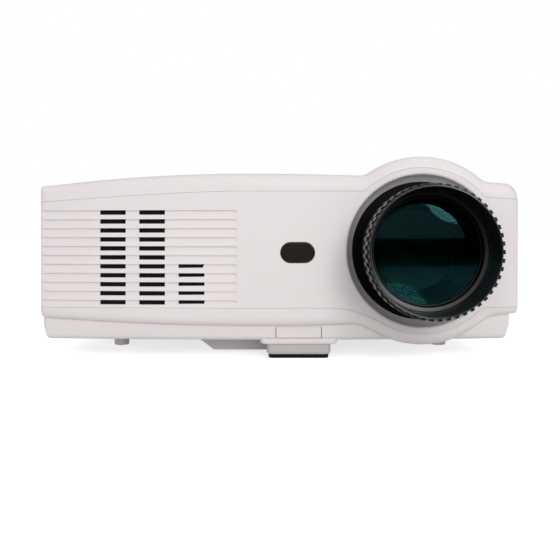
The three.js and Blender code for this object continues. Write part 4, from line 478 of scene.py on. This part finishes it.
def collar_ring(margin_x, margin_y, z):
    outline = rounded_box(
        leg_left - margin_x, leg_right + margin_x, leg_front - margin_y, leg_back + margin_y, leg_corner)
    return [(x, y, z) for x, y in outline]


white_plastic = moulded("white_abs", linear(229, 221, 221), 0.42)

solid_case = case_solid("solid_case", 0)
combine(solid_case, tub_solid("tub", 0), "UNION")
cavity = case_solid("cavity", wall)
combine(cavity, tub_solid("tub_cavity", wall), "UNION")
case_shell = copied(solid_case, "case_shell")
combine(case_shell, cavity, "DIFFERENCE")

shell_piece = copied(case_shell, "bottom_housing")
below_parting = region(level_lines(-overrun), both_forms(lower_line, parting_half))
combine(shell_piece, below_parting, "INTERSECT")
collar_profile = (
    (1.5, 0.4, 9.7), (2.9, 1.4, 9.9), (3.7, 1.9, 10.4), (4.3, 2.3, 11.3), (4.5, 2.5, 12.6), (4.5, 2.5, 15.2),
)
combine(shell_piece, lofted("collar", [collar_ring(*ring) for ring in collar_profile]), "UNION")
guide_profile = ((2.5, 2.5, tub_bottom), (2.5, 2.5, 26.7))
combine(shell_piece, lofted("guide", [collar_ring(*ring) for ring in guide_profile]), "UNION")
for x, y in screw_places:
    combine(shell_piece, upright("post", disc(x, y, post_radius, 24), 13.2, 59.7), "UNION")
for x, y in screw_places:
    combine(shell_piece, upright("head_hole", disc(x, y, head_radius, 24), 0, 15.3), "DIFFERENCE")
    combine(shell_piece, upright("shaft_hole", disc(x, y, shaft_radius, 16), 0, 70), "DIFFERENCE")
for x, y in foot_places:
    combine(shell_piece, upright("pin_hole", disc(x, y, pin_hole_radius, 16), 0, 20), "DIFFERENCE")
leg_hole_profile = ((0.3, 0.3, 0), (0.3, 0.3, 32))
combine(shell_piece, lofted("leg_hole", [collar_ring(*ring) for ring in leg_hole_profile]), "DIFFERENCE")
combine(shell_piece, upright("intake", rounded_box(-39, -1, -42.5, -2.5, 2), 0, 20), "DIFFERENCE")
button_window = [(-2.95, 14.15), (27.95, 14.15), (27.95, 21.85), (-2.95, 21.85)]
combine(shell_piece, prism("button_window", button_window, -147.5, -88), "DIFFERENCE")
settle(shell_piece, white_plastic, "case", "shell", "bottom_shell")


# Elevator foot and its release button
# A hollow ABS leg with a rack inside its front wall and stops on its sides. It drops out of the collar when
# the button in the tub's front is pressed. A black rubber pad is pushed onto its end.

leg_profile = ((1.8, 2.6), (0.9, 2.85), (0.3, 3.5), (0, 4.8), (0, 60.1))
hollow_profile = ((2, 4.8), (2, 66))
pad_profile = ((2.6, 0), (1.8, 0.15), (1.4, 0.7), (1.3, 1.3), (1.3, 2.6))
slot_left, slot_right = 7.9, 17.1
stop_places = (-11.5, 33.5)
rack_teeth, rack_pitch, rack_start = 12, 3, 14.1
tooth_half, tooth_length = 1.2, 5


def leg_ring(inset, z):
    outline = rounded_box(
        leg_left + inset, leg_right - inset, leg_front + inset, leg_back - inset, leg_corner - inset * 0.5)
    return [(x, y, z) for x, y in outline]


def joined(pieces):
    deselect()
    for piece in pieces:
        piece.select_set(True)
    bpy.context.view_layer.objects.active = pieces[0]
    bpy.ops.object.join()
    return pieces[0]


def dress(material, *names):
    """CAD pieces keep their shape and get a finish."""
    for name in names:
        mesh = nodes[name].data
        mesh.materials.clear()
        mesh.materials.append(material)


leg = lofted("foot_leg", [leg_ring(*ring) for ring in leg_profile])
combine(leg, lofted("leg_hollow", [leg_ring(*ring) for ring in hollow_profile]), "DIFFERENCE")
leg_slot = [(slot_left, 12.6), (slot_right, 12.6), (slot_right, 50.6), (slot_left, 50.6)]
combine(leg, prism("leg_slot", leg_slot, -93, -86), "DIFFERENCE")
for left in stop_places:
    stop = [(left, -82), (left + 3, -82), (left + 3, -74), (left, -74)]
    combine(leg, upright("leg_stop", stop, 58.1, 60.1), "UNION")
rack = []
for i in range(rack_teeth):
    z = rack_start + rack_pitch * i
    for start in (slot_left - tooth_length, slot_right):
        tooth = [(-86.5, z - tooth_half), (-85, z), (-86.5, z + tooth_half)]
        ends = (start, start + tooth_length)
        rack.append(lofted("rack_tooth", [[(x, y, height) for y, height in tooth] for x in ends]))
combine(leg, joined(rack), "UNION")
# Painted shade: the leg's tone is darker than the shells' white ABS, standing in for the shade under the
# collar.
leg_painted_shade = moulded("leg_abs_painted_shade", linear(188, 179, 180), 0.45)
settle(leg, leg_painted_shade, "leg", "shell", "elevator_leg")

pad_black = moulded("pad_rubber", linear(8, 8, 9), 0.8, grain=1800.0, depth=0.00004)
pad_black.node_tree.nodes["Principled BSDF"].inputs["Specular IOR Level"].default_value = 0.2
leg_pad = lofted("foot_pad", [leg_ring(*ring) for ring in pad_profile])
settle(leg_pad, pad_black, "leg", "rubber", "elevator_pad")

dress(white_plastic, "foot_release_button")


# Stub feet
# Four rubber feet, pushed by a pin into holes in the tub's floor. Their tone is painted paler than the rubber,
# as painted light for the light that doesn't reach under the tub. They are moulded alike and carry the case
# when the elevator foot is up.

foot_profile = ((4.7, 0), (5.2, 0.2), (5.5, 0.8), (5.5, 12.7), (2.5, 12.7), (2.5, 16.7))
foot_names = ("front_left_foot", "front_right_foot", "rear_left_foot", "rear_right_foot")
# Painted light: the feet's tone is painted paler than their rubber, standing in for the light that doesn't
# reach under the tub.
stub_rubber_painted_light = moulded("stub_rubber_painted_light", linear(255, 247, 250), 0.6, grain=1800.0, depth=0.00003)
first_foot = lofted("stub_foot", [[(x, y, z) for x, y in disc(0, 0, radius)] for radius, z in foot_profile])
for name, (x, y) in zip(foot_names, foot_places):
    stub = copied(first_foot, "stub_" + name)
    for vertex in stub.data.vertices:
        vertex.co += mathutils.Vector((x, y, 0))
    settle(stub, stub_rubber_painted_light, "case", "foot", name)
bpy.data.objects.remove(first_foot)


# Boards and speaker
# Lacquered green boards. The power board carries a transformer wound in copper wire and a capacitor in a
# dark sleeve. The speaker has a dark cone and frame.

lacquered_board = moulded("lacquered_board", linear(28, 88, 54), 0.4, grain=1400.0)
dark_plastic = moulded("dark_plastic", linear(26, 27, 29), 0.5)
copper_winding = moulded(
    "copper_winding", linear(156, 91, 50), 0.4, grain=900.0, depth=0.00005, stretch=(1, 1, 10), metallic=1.0)
dress(lacquered_board, "power_board", "main_board")
dress(copper_winding, "power_transformer")
dress(dark_plastic, "bulk_capacitor", "speaker")


# Light engine
# Dark plastic channels lead the light from the lamp through the picture panel and past a silvered glass
# mirror to the lens. The lamp is a yellow phosphor block on a finned block of drawn aluminium.

mirror_silver = moulded(
    "silvered_glass", linear(216, 221, 224), 0.1, grain=300.0, depth=0.000002, metallic=1.0)
led_yellow = moulded("led_phosphor", linear(227, 198, 74), 0.45)
drawn_aluminium = moulded(
    "drawn_aluminium", linear(196, 198, 200), 0.38, grain=700.0, depth=0.00001, stretch=(1, 8, 1),
    metallic=1.0)
dress(dark_plastic, "light_tunnel", "lcd_panel", "condenser_cone")
dress(mirror_silver, "fold_mirror")
dress(led_yellow, "led_module")
dress(drawn_aluminium, "led_heatsink")


# Fans
# Two bought-in fans, one behind the front slots and one behind a side grille. Each is a glossy black frame
# with a dark plastic rotor that turns on its hub.

lens_black = moulded("lens_black", linear(14, 14, 15), 0.32)
dress(lens_black, "front_fan_frame", "side_fan_frame")
dress(dark_plastic, "front_fan_rotor", "side_fan_rotor")


# Lens mount and barrel
# Matt black nylon. The mount's flange is held behind the bezel's mouth, and the barrel slides in it, kept from
# turning by a key in the mount's slot. A thin threaded ring, anodised, holds the front lens in the barrel.

axis_steps = 160
barrel_black = moulded("barrel_black", linear(5, 5, 6), 0.5, grain=2200.0)
barrel_black.node_tree.nodes["Principled BSDF"].inputs["Specular IOR Level"].default_value = 0.08


def turned(name, profile, steps=axis_steps):
    """A closed profile of radius and depth, spun round the lens axis."""
    deselect()
    bpy.ops.mesh.primitive_circle_add(vertices=len(profile), fill_type="NOTHING")
    piece = named(name)
    for vertex, (radius, depth) in zip(piece.data.vertices, profile):
        vertex.co = (lens_x + radius, depth, lens_z)
    bpy.ops.object.mode_set(mode="EDIT")
    bpy.ops.mesh.select_all(action="SELECT")
    bpy.ops.mesh.spin(steps=steps, angle=math.tau, center=(lens_x, 0, lens_z), axis=(0, 1, 0))
    bpy.ops.mesh.select_all(action="SELECT")
    bpy.ops.mesh.remove_doubles(threshold=0.001)
    bpy.ops.mesh.delete_loose()
    bpy.ops.object.mode_set(mode="OBJECT")
    face_outwards(piece)
    return piece


def upright_strip(half, low, high):
    """An outline of x and z that stands on the lens axis."""
    left, right = lens_x - half, lens_x + half
    return [(left, lens_z + low), (right, lens_z + low), (right, lens_z + high), (left, lens_z + high)]


mount = turned("mount_flange", [
    (37.3, -115.5), (38.9, -115.5), (38.9, -95), (39.8, -95), (39.8, -93), (38.9, -93), (38.9, -88.2),
    (49, -88.2), (49, -84), (37.3, -84),
])
combine(mount, prism("key_slot", upright_strip(2.3, 0, 43.9), -112.5, -95.9), "DIFFERENCE")
settle(mount, barrel_black, "case", "lens_black", "lens_mount")

barrel = turned("lens_tube", [
    (35.5, -115), (35.7, -115.0), (36.8, -115), (37, -114.8), (37, -57), (27.3, -57), (27.3, -61.6),
    (24.3, -61.6), (24.3, -63.1), (34, -63.1), (34, -109.1), (35.5, -109.1),
])
combine(barrel, prism("slide_key", upright_strip(2, 36.5, 38.1), -112.2, -104.2), "UNION")
settle(barrel, barrel_black, "barrel", "lens_black", "lens_barrel")

anodised = moulded(
    "anodised_ring", linear(52, 54, 57), 0.25, grain=900.0, depth=0.00001, stretch=(1, 6, 1), metallic=1.0)
retainer = turned("front_retainer", [
    (34.2, -114.2), (34.5, -114.65), (35.0, -114.7), (35.2, -114.5), (35.2, -112.7), (34.2, -112.7),
])
settle(retainer, anodised, "barrel", "steel", "lens_retaining_ring")


# Lenses
# Polished glass. The front lens bulges on both faces, and its coating tints what it mirrors green-blue. The
# smaller lenses behind it are plain glass.

front_radius = 35.2
front_face, front_bulge = -112.4, -2.2
back_face, back_bulge = -109.4, 1.4


def dome(radius, place, crown, steps=24):
    """Points of a bulging face from the axis outwards."""
    return [(radius * i / steps, place + crown * (1 - (i / steps) ** 2)) for i in range(steps + 1)]


glass, glass_shader, glass_shade = new_material("coated_glass")
glass_place = glass_shade.add("ShaderNodeTexCoord", {}, {}, 3)
glass_clouds = noise(glass_shade, glass_place, 30.0)
wire(glass_shader, "Base Color", glass_clouds.mixed(linear(122, 162, 162), linear(130, 170, 170)))
wire(glass_shader, "Roughness", glass_clouds * 0.01 + 0.01)
glass_shader.inputs["Transmission Weight"].default_value = 1.0
glass_shader.inputs["IOR"].default_value = 1.5
glass_shader.inputs["Specular IOR Level"].default_value = 0.5
glass_shader.inputs["Specular Tint"].default_value = (0.07, 0.24, 0.26, 1)
front_dome = dome(front_radius, front_face, front_bulge)
front_glass = turned("front_glass", front_dome + dome(front_radius, back_face, back_bulge)[::-1])
settle(front_glass, glass, "barrel", "coated_glass", "front_lens")

clear_glass = moulded("clear_glass", linear(40, 52, 54), 0.1, grain=300.0, depth=0.000002)
dress(clear_glass, "rear_lens", "field_fresnel", "condenser_lens")


# Focus ring
# Black glass-filled nylon. It carries two rows of grip teeth, one a half tooth out of step, and a deep hood.
# The tooth tips on the left flank, towards the middle of the case, are painted paler as a painted sheen, and
# the inside of the hood is painted lighter as painted light. The ring turns on the lens mount.

rim_plane = -147.5
ring_end = -90.0
tooth_count = 50
tooth_root, tooth_tip, tooth_chamfer = 40.7, 42.2, 0.3
root_share, tip_share = 0.27, 0.24
sheen_radius, hood_radius, funnel_radius = 42.05, 40.2, 38.3
sheen_growth, sheen_start = -36.0, -0.2


def tooth_row(front, back, turn):
    """A row of grip teeth as one star-shaped solid, bored out, its ends chamfered."""
    rings = []
    low_tip = tooth_tip - tooth_chamfer
    inner_ends = ((front + tooth_chamfer, tooth_tip), (back - tooth_chamfer, tooth_tip))
    for depth, tip in ((front, low_tip), *inner_ends, (back, low_tip)):
        ring = []
        for i in range(tooth_count):
            crest = ((tip, -tip_share), (tip, tip_share))
            for radius, share in ((tooth_root, -root_share), *crest, (tooth_root, root_share)):
                angle = math.radians(360 / tooth_count * (i + turn + share))
                ring.append((lens_x + radius * math.cos(angle), depth, lens_z + radius * math.sin(angle)))
        rings.append(ring)
    row = lofted("tooth_row", rings)
    core = [(0, front - 1), (40.5, front - 1), (40.5, back + 1), (0, back + 1)]
    combine(row, turned("row_core", core), "DIFFERENCE")
    return row


ring_black, ring_shader, ring_shade = new_material("ring_black")
ring_place = ring_shade.add("ShaderNodeTexCoord", {}, {}, 3)
ring_grain = noise(ring_shade, ring_place, 2200.0)
across = ring_shade.add("ShaderNodeSeparateXYZ", {}, {"Vector": ring_place}, 0) - lens_x * millimetre
upwards = ring_shade.add("ShaderNodeSeparateXYZ", {}, {"Vector": ring_place}, 2) - lens_z * millimetre
from_axis = across * across + upwards * upwards
clamped_line = {"operation": "MULTIPLY_ADD", "use_clamp": True}
# Painted sheen: the tooth tips get a paler tone only on the ring's left flank, standing in for the light those
# tips catch there.
leftward = ring_shade.add("ShaderNodeMath", clamped_line, {0: across, 1: sheen_growth, 2: sheen_start})
painted_tip_sheen = ring_shade.sum("GREATER_THAN", from_axis, (sheen_radius * millimetre) ** 2) * leftward
hood = ring_shade.sum("LESS_THAN", from_axis, (hood_radius * millimetre) ** 2)
funnel = ring_shade.sum("LESS_THAN", from_axis, (funnel_radius * millimetre) ** 2)
# Painted light: inside the hood, between the funnel and the rim, the tone is painted lighter to stand in for
# light on the hood's inner wall. The funnel keeps a dark tone close to the ring's own.
ring_colour = hood.mixed(linear(12, 12, 14), linear(26, 26, 28))
ring_colour = funnel.mixed(ring_colour, linear(15, 15, 16))
wire(ring_shader, "Base Color", painted_tip_sheen.mixed(ring_colour, linear(132, 127, 129)))
wire(ring_shader, "Roughness", ring_grain * 0.05 + funnel * 0.14 + 0.2)
ring_relief = {"Height": ring_grain, "Distance": 0.000005, "Strength": 1.0}
wire(ring_shader, "Normal", ring_shade.add("ShaderNodeBump", {}, ring_relief))
ring_shader.inputs["Specular IOR Level"].default_value = 0.6

focus_ring = turned("grip_ring", [
    (39.6, rim_plane + 0.3), (39.75, rim_plane + 0.08), (40.0, rim_plane), (40.35, rim_plane + 0.08),
    (40.6, rim_plane + 0.35), (40.75, rim_plane + 0.7), (40.8, rim_plane + 1.2), (40.8, ring_end - 0.5),
    (40.55, ring_end), (39.2, ring_end), (39.2, -92.7), (40.1, -92.7), (40.1, -95.3), (39.2, -95.3),
    (39.2, -116), (36, -116), (36, -118.5), (38.2, -119.2),
])
combine(focus_ring, tooth_row(rim_plane + 1, rim_plane + 10.5, 0), "UNION")
combine(focus_ring, tooth_row(rim_plane + 11.5, rim_plane + 23, 0.5), "UNION")
settle(focus_ring, ring_black, "focus", "lens_black", "focus_ring")


# Front bezel
# Moulded white ABS: eleven clapboard ridges with cooling slots at the left, the infrared window and the deep
# mouth round the lens. It is clipped between the two shells.

bezel_back = -70.15
mouth_radius, mouth_edge = 50.2, 1.7
mouth_wall = ((49.6, 3.4, 0.25), (48.8, 5.2, 0.5), (47.6, 7.2, 0.75), (46.2, 9, 1), (46.2, 14, 1))
ridge_levels = [99.1 - 5.94 * i for i in range(11)]
ridge_depth, ridge_slope, ridge_end = 1.25, 4.4, -28.7
slot_start, slot_pitch, slot_width = -119.4, 26.2, 17.2
short_column, short_rows = 2, 6
window_x, window_z = 11.6, 71.3
window_width, window_height = 23.1, 14.1
mark_x, mark_z, mark_radius, mark_setback = 34.7, 46.8, 6, -5.6


def mouth_ring(radius, depth, flat=0.0):
    """A ring round the lens. It follows the bowed face where flat is 0, and is level where flat is 1."""
    points = arc(lens_x, lens_z, radius, 0, 360 - 360 / 160, 159)
    return [(x, face_at(x) * (1 - flat) + mouth_plane * flat + depth, z) for x, z in points]


def stadium(x, z, width, height):
    straight, radius = (width - height) / 2, height / 2
    return arc(x + straight, z, radius, -90, 90, 24) + arc(x - straight, z, radius, 90, 270, 24)


bezel = copied(case_shell, "front_housing")
between_partings = region(both_forms(lower_line, -parting_half), both_forms(upper_line, -parting_half))
combine(bezel, between_partings, "INTERSECT")
slab_half = half_width + overrun
slab = [(-slab_half, 0), (slab_half, 0), (slab_half, sky_level), (-slab_half, sky_level)]
combine(bezel, prism("bezel_slab", slab, open_front, bezel_back), "INTERSECT")

combine(bezel, lofted("mouth_collar", [mouth_ring(53, 1.3), mouth_ring(48.6, 9, 1)]), "UNION")
mouth = [mouth_ring(mouth_radius + mouth_edge + 2.5, -2.0)]
for turn in [math.radians(15 * i) for i in range(7)]:
    radius, depth = mouth_radius + mouth_edge * (1 - math.sin(turn)), mouth_edge * (1 - math.cos(turn))
    mouth.append(mouth_ring(radius, depth - 0.02))
mouth += [mouth_ring(*ring) for ring in mouth_wall]
combine(bezel, lofted("mouth_cut", mouth), "DIFFERENCE")

ridge_columns = case_columns(-half_width, half_width, left_corner, right_corner)
ridge_columns = [x for x in ridge_columns if x < ridge_end - 3]
for level in ridge_levels:
    rings = []
    for x in [-half_width - 3] + ridge_columns + [ridge_end]:
        inside = max(x, -half_width)
        face = face_at(inside) + corner_inset(inside, 0)
        depth = ridge_depth * (0.12 + 0.88 * min((inside + half_width) / 3, 1))
        foot_level = level - ridge_slope / ridge_depth * (depth + 0.5)
        rings.append([(x, face + depth, level), (x, face - 0.5, level), (x, face - 0.5, foot_level)])
    combine(bezel, lofted("ridge_cut", rings), "DIFFERENCE")
slot_cuts = []
for row, level in enumerate(ridge_levels):
    for column in range(short_column + 1 if row >= short_rows else short_column):
        short = column == short_column
        left = slot_start + slot_pitch * column
        right = left + slot_width
        slant = 1.2 if short and row == short_rows else 0
        top, low, rise = level + 0.2, level - (2.3 if short else 2.8), 0.15 if short else 0
        outline = [(left, low), (right - slant, low + rise), (right, top), (left, top)]
        slot_cuts.append(prism("slot_cut", outline, -120, -75))
combine(bezel, joined(slot_cuts), "DIFFERENCE")

window_outline = stadium(window_x, window_z, window_width, window_height)
combine(bezel, prism("window_cut", window_outline, -120, -80), "DIFFERENCE")
deselect()
bpy.ops.mesh.primitive_uv_sphere_add(segments=48, ring_count=24, radius=mark_radius)
ejector_mark = named("ejector_mark")
for vertex in ejector_mark.data.vertices:
    vertex.co += mathutils.Vector((mark_x, face_at(mark_x) + mark_setback, mark_z))
combine(bezel, ejector_mark, "DIFFERENCE")
settle(bezel, white_plastic, "case", "shell", "front_bezel")


# Infrared window and receiver
# Smoked brown acrylic, clipped in from behind, with the remote control's receiver just visible through it.
# The receiver is a small block of tinted resin.

smoked, smoked_shader, smoked_shade = new_material("smoked_acrylic")
smoked_place = smoked_shade.add("ShaderNodeTexCoord", {}, {}, 3)
smoked_clouds = noise(smoked_shade, smoked_place, 40.0)
wire(smoked_shader, "Base Color", smoked_clouds.mixed(linear(118, 107, 99), linear(126, 114, 105)))
wire(smoked_shader, "Roughness", smoked_clouds * 0.04 + 0.04)
smoked_shader.inputs["Transmission Weight"].default_value = 0.93
smoked_shader.inputs["Specular IOR Level"].default_value = 0.25
pane_profile = ((1.1, 0.35), (0.7, 0.4), (0.4, 0.6), (0.3, 0.9), (0.3, 3.0))
pane_rings = []
window_face = face_at(window_x)
for inset, depth in pane_profile:
    outline = stadium(window_x, window_z, window_width - 2 * inset, window_height - 2 * inset)
    pane_rings.append([(x, window_face + depth, z) for x, z in outline])
pane = lofted("smoked_pane", pane_rings)
flange_outline = stadium(window_x, window_z, window_width + 3, window_height + 3)
combine(pane, prism("pane_flange", flange_outline, window_face + 2.8, window_face + 3.8), "UNION")
settle(pane, smoked, "case", "smoked_window", "ir_window")

dress(moulded("receiver_resin", linear(205, 190, 178), 0.4), "ir_receiver")


# Dust foam
# Open-cell black foam behind the cooling slots, cut from sheet and held by the fan's frame. It keeps dust off
# the fan, and its black is also painted shade: a dark sheet where the slots would show the shade inside the
# case.

# Painted shade: this near-black sheet makes the slots look black in place of the shade inside the case.
black_foam_painted_shade = moulded("dust_foam", linear(4, 4, 4), 0.95, grain=700.0, depth=0.0003)
foam_low, foam_high, foam_thickness = 34.5, 100.5, 1.2
foam_rings = []
for x in [-121 + 4.5 * i for i in range(18)]:
    front = face_at(x) + wall + fit_gap
    back = front + foam_thickness
    corners = ((front, foam_low), (back, foam_low), (back, foam_high), (front, foam_high))
    foam_rings.append([(x, y, z) for y, z in corners])
foam = lofted("dust_foam", foam_rings)
settle(foam, black_foam_painted_shade, "case", "rubber")


# Rear panel and side grilles
# Moulded white ABS plates with their slots, held between the two shells. They share the finish of the
# shells.

dress(white_plastic, "rear_panel", "left_side_grille", "right_side_grille")


# Sockets and mains switch
# Pressed steel shells round the video and data sockets, dark plastic round the audio sockets, and glossy
# black plastic for the headphone jack, the mains inlet and its rocker. They show through the rear panel.

bright_steel = moulded(
    "bright_steel", linear(170, 172, 175), 0.32, grain=900.0, depth=0.00001, stretch=(1, 1, 6), metallic=1.0)
dress(bright_steel, "hdmi_socket", "usb_socket", "vga_socket")
dress(dark_plastic, "av_jack_block")
dress(lens_black, "headphone_jack", "power_inlet", "power_switch")


# Top cover
# Moulded white ABS: the crowned lid with the hump over the lens, and the pocket of the keypad. Its four posts
# take the case screws.

key_places = {
    "ok_button": (-25, 20, 5.5), "up_button": (-25, 32.5, 4), "down_button": (-25, 7.5, 4),
    "left_button": (-37.5, 20, 4), "right_button": (-12.5, 20, 4), "power_button": (-59, 20, 5),
    "source_button": (7, 27.5, 4), "menu_button": (7, 12.5, 4),
}
cover = copied(case_shell, "top_housing")
combine(cover, region(both_forms(upper_line, parting_half), level_lines(sky_level)), "INTERSECT")
pad = upright("pocket_block", rounded_box(-75.5, 25.5, -3.5, 43.5, 10), 117.7, 122)
combine(pad, copied(solid_case, "pocket_limit"), "INTERSECT")
combine(cover, pad, "UNION")
pocket = rounded_box(-73.3, 23.3, -1.3, 41.3, 8.3)
combine(cover, upright("pocket", pocket, 119.7, sky_level), "DIFFERENCE")
for x, y, radius in key_places.values():
    combine(cover, upright("key_hole", disc(x, y, radius + 0.35), 110, sky_level), "DIFFERENCE")
for x, y in screw_places:
    post = upright("cover_post", disc(x, y, 4.5, 24), 60, sky_level)
    combine(post, copied(solid_case, "post_limit"), "INTERSECT")
    combine(cover, post, "UNION")
    combine(cover, upright("thread_hole", disc(x, y, shaft_radius, 16), 0, 63.3), "DIFFERENCE")
settle(cover, white_plastic, "case", "shell", "top_cover")
for leftover in (solid_case, case_shell):
    bpy.data.objects.remove(leftover)


# Keypad
# Soft-touch grey caps, each with a flange under the plate that keeps it in and stands on its switch. The
# plate is dark moulded plastic, and the switches are on a lacquered board below it.

cap_profile = (
    (1, 116), (1, 117.2), (0, 117.2), (0, 120.9), (-0.2, 121.35), (-0.6, 121.6), (-1.4, 121.7),
)
cap_middle = (0.3, 121.55)
key_grey = moulded("key_caps", linear(168, 166, 167), 0.5)
for name, (x, y, radius) in key_places.items():
    profile = [(radius + margin, z) for margin, z in cap_profile] + [cap_middle]
    cap = lofted("cap_" + name, [[(a, b, z) for a, b in disc(x, y, reach, 48)] for reach, z in profile])
    settle(cap, key_grey, name.replace("_button", "_key"), "key", name)

dress(dark_plastic, "control_panel")
dress(lacquered_board, "keypad_board")


# Filter cover and case screws
# A moulded white ABS cover clipped under the intake behind the foot, and four plated steel screws that hold
# the two shells together from below.

dress(white_plastic, "filter_cover")
dress(bright_steel, "case_screw_1", "case_screw_2", "case_screw_3", "case_screw_4")


# Studio
# A pale table under a broad soft light from above, with a softbox at the front right that shows in the lens.
# Black cards round the object and on the table are seen only by gloss, as in a product photograph.

deselect()
bpy.ops.mesh.primitive_plane_add(size=30, location=(0, 0, 0))
table = named("table")
table_paper, table_shader, table_shade = new_material("table_paper")
table_shader.inputs["Base Color"].default_value = (0.8, 0.8, 0.8, 1)
table_shader.inputs["Roughness"].default_value = 0.95
table_shader.inputs["Emission Color"].default_value = (1, 1, 1, 1)


def seen_directly(shade):
    """1 where a camera, glossy or transmitted ray sees the background, and 0 where light falls from it."""
    rays = ("Is Camera Ray", "Is Glossy Ray", "Is Transmission Ray")
    camera_ray, glossy_ray, transmitted_ray = [shade.add("ShaderNodeLightPath", {}, {}, ray) for ray in rays]
    return camera_ray + glossy_ray + transmitted_ray


wire(table_shader, "Emission Strength", seen_directly(table_shade) * 0.7)
table.data.materials.append(table_paper)

world = bpy.data.worlds.new("studio")
bpy.context.scene.world = world
world.use_nodes = True
background = world.node_tree.nodes["Background"]
background.inputs["Color"].default_value = (1, 1, 1, 1)
wire(background, "Strength", seen_directly(Shade(world.node_tree)) * 0.44 + 0.56)

card_distance = 1.6
card_places = (
    ("front_card", 205, 335, -0.02, 0.16), ("upper_card", 195, 258, 0.8, 2.4),
    ("rear_card", 335, 510, -0.02, 1.3),
)
cards = []
for name, start, end, low, high in card_places:
    deselect()
    bpy.ops.mesh.primitive_grid_add(x_subdivisions=24, y_subdivisions=1, size=1)
    card = named(name)
    card_arc = arc(0, 0, card_distance, start, end, 24)
    for vertex in card.data.vertices:
        x, y = card_arc[round((vertex.co.x + 0.5) * 24)]
        vertex.co = (x, y, high if vertex.co.y > 0 else low)
    cards.append(card)
deselect()
bpy.ops.mesh.primitive_plane_add(size=1, location=(0.1, -0.88, 0.002))
table_card = named("table_card")
for vertex in table_card.data.vertices:
    vertex.co = (vertex.co.x * 2.4, vertex.co.y * 1.44, 0)
card_black, card_shader, _ = new_material("card_black")
card_shader.inputs["Base Color"].default_value = (0.002, 0.002, 0.002, 1)
card_shader.inputs["Roughness"].default_value = 1.0
for card in cards + [table_card]:
    card.data.materials.append(card_black)
    card.visible_camera = False
    card.visible_diffuse = False
    card.visible_shadow = False


def softbox(name, place, target, size, watts):
    light = bpy.data.lights.new(name, "AREA")
    light.shape = "RECTANGLE"
    light.size, light.size_y = size
    light.energy = watts
    lamp = bpy.data.objects.new(name, light)
    bpy.context.scene.collection.objects.link(lamp)
    lamp.location = place
    direction = mathutils.Vector(target) - mathutils.Vector(place)
    lamp.rotation_euler = direction.to_track_quat("-Z", "Y").to_euler()
    return lamp


softbox("overhead_light", (0.1, -0.35, 1.5), (0, 0, 0.06), (1.8, 1.2), 2)
key_light = softbox("front_right_light", (0.675, -1.7, 0.67), (0.09, -0.1, 0.07), (0.7, 0.7), 10)
key_light.data.shape = "DISK"
key_light.data.color = (0.96, 1.0, 1.0)
low_fill = softbox("low_front_fill", (-0.2, -1.9, 0.2), (0, 0, 0.05), (2.2, 0.3), 4)
front_fill = softbox("front_fill", (0.3, -2.0, 0.8), (0.06, 0, 0.07), (1.4, 1.0), 4.4)
for fill in (low_fill, front_fill):
    fill.visible_glossy = False
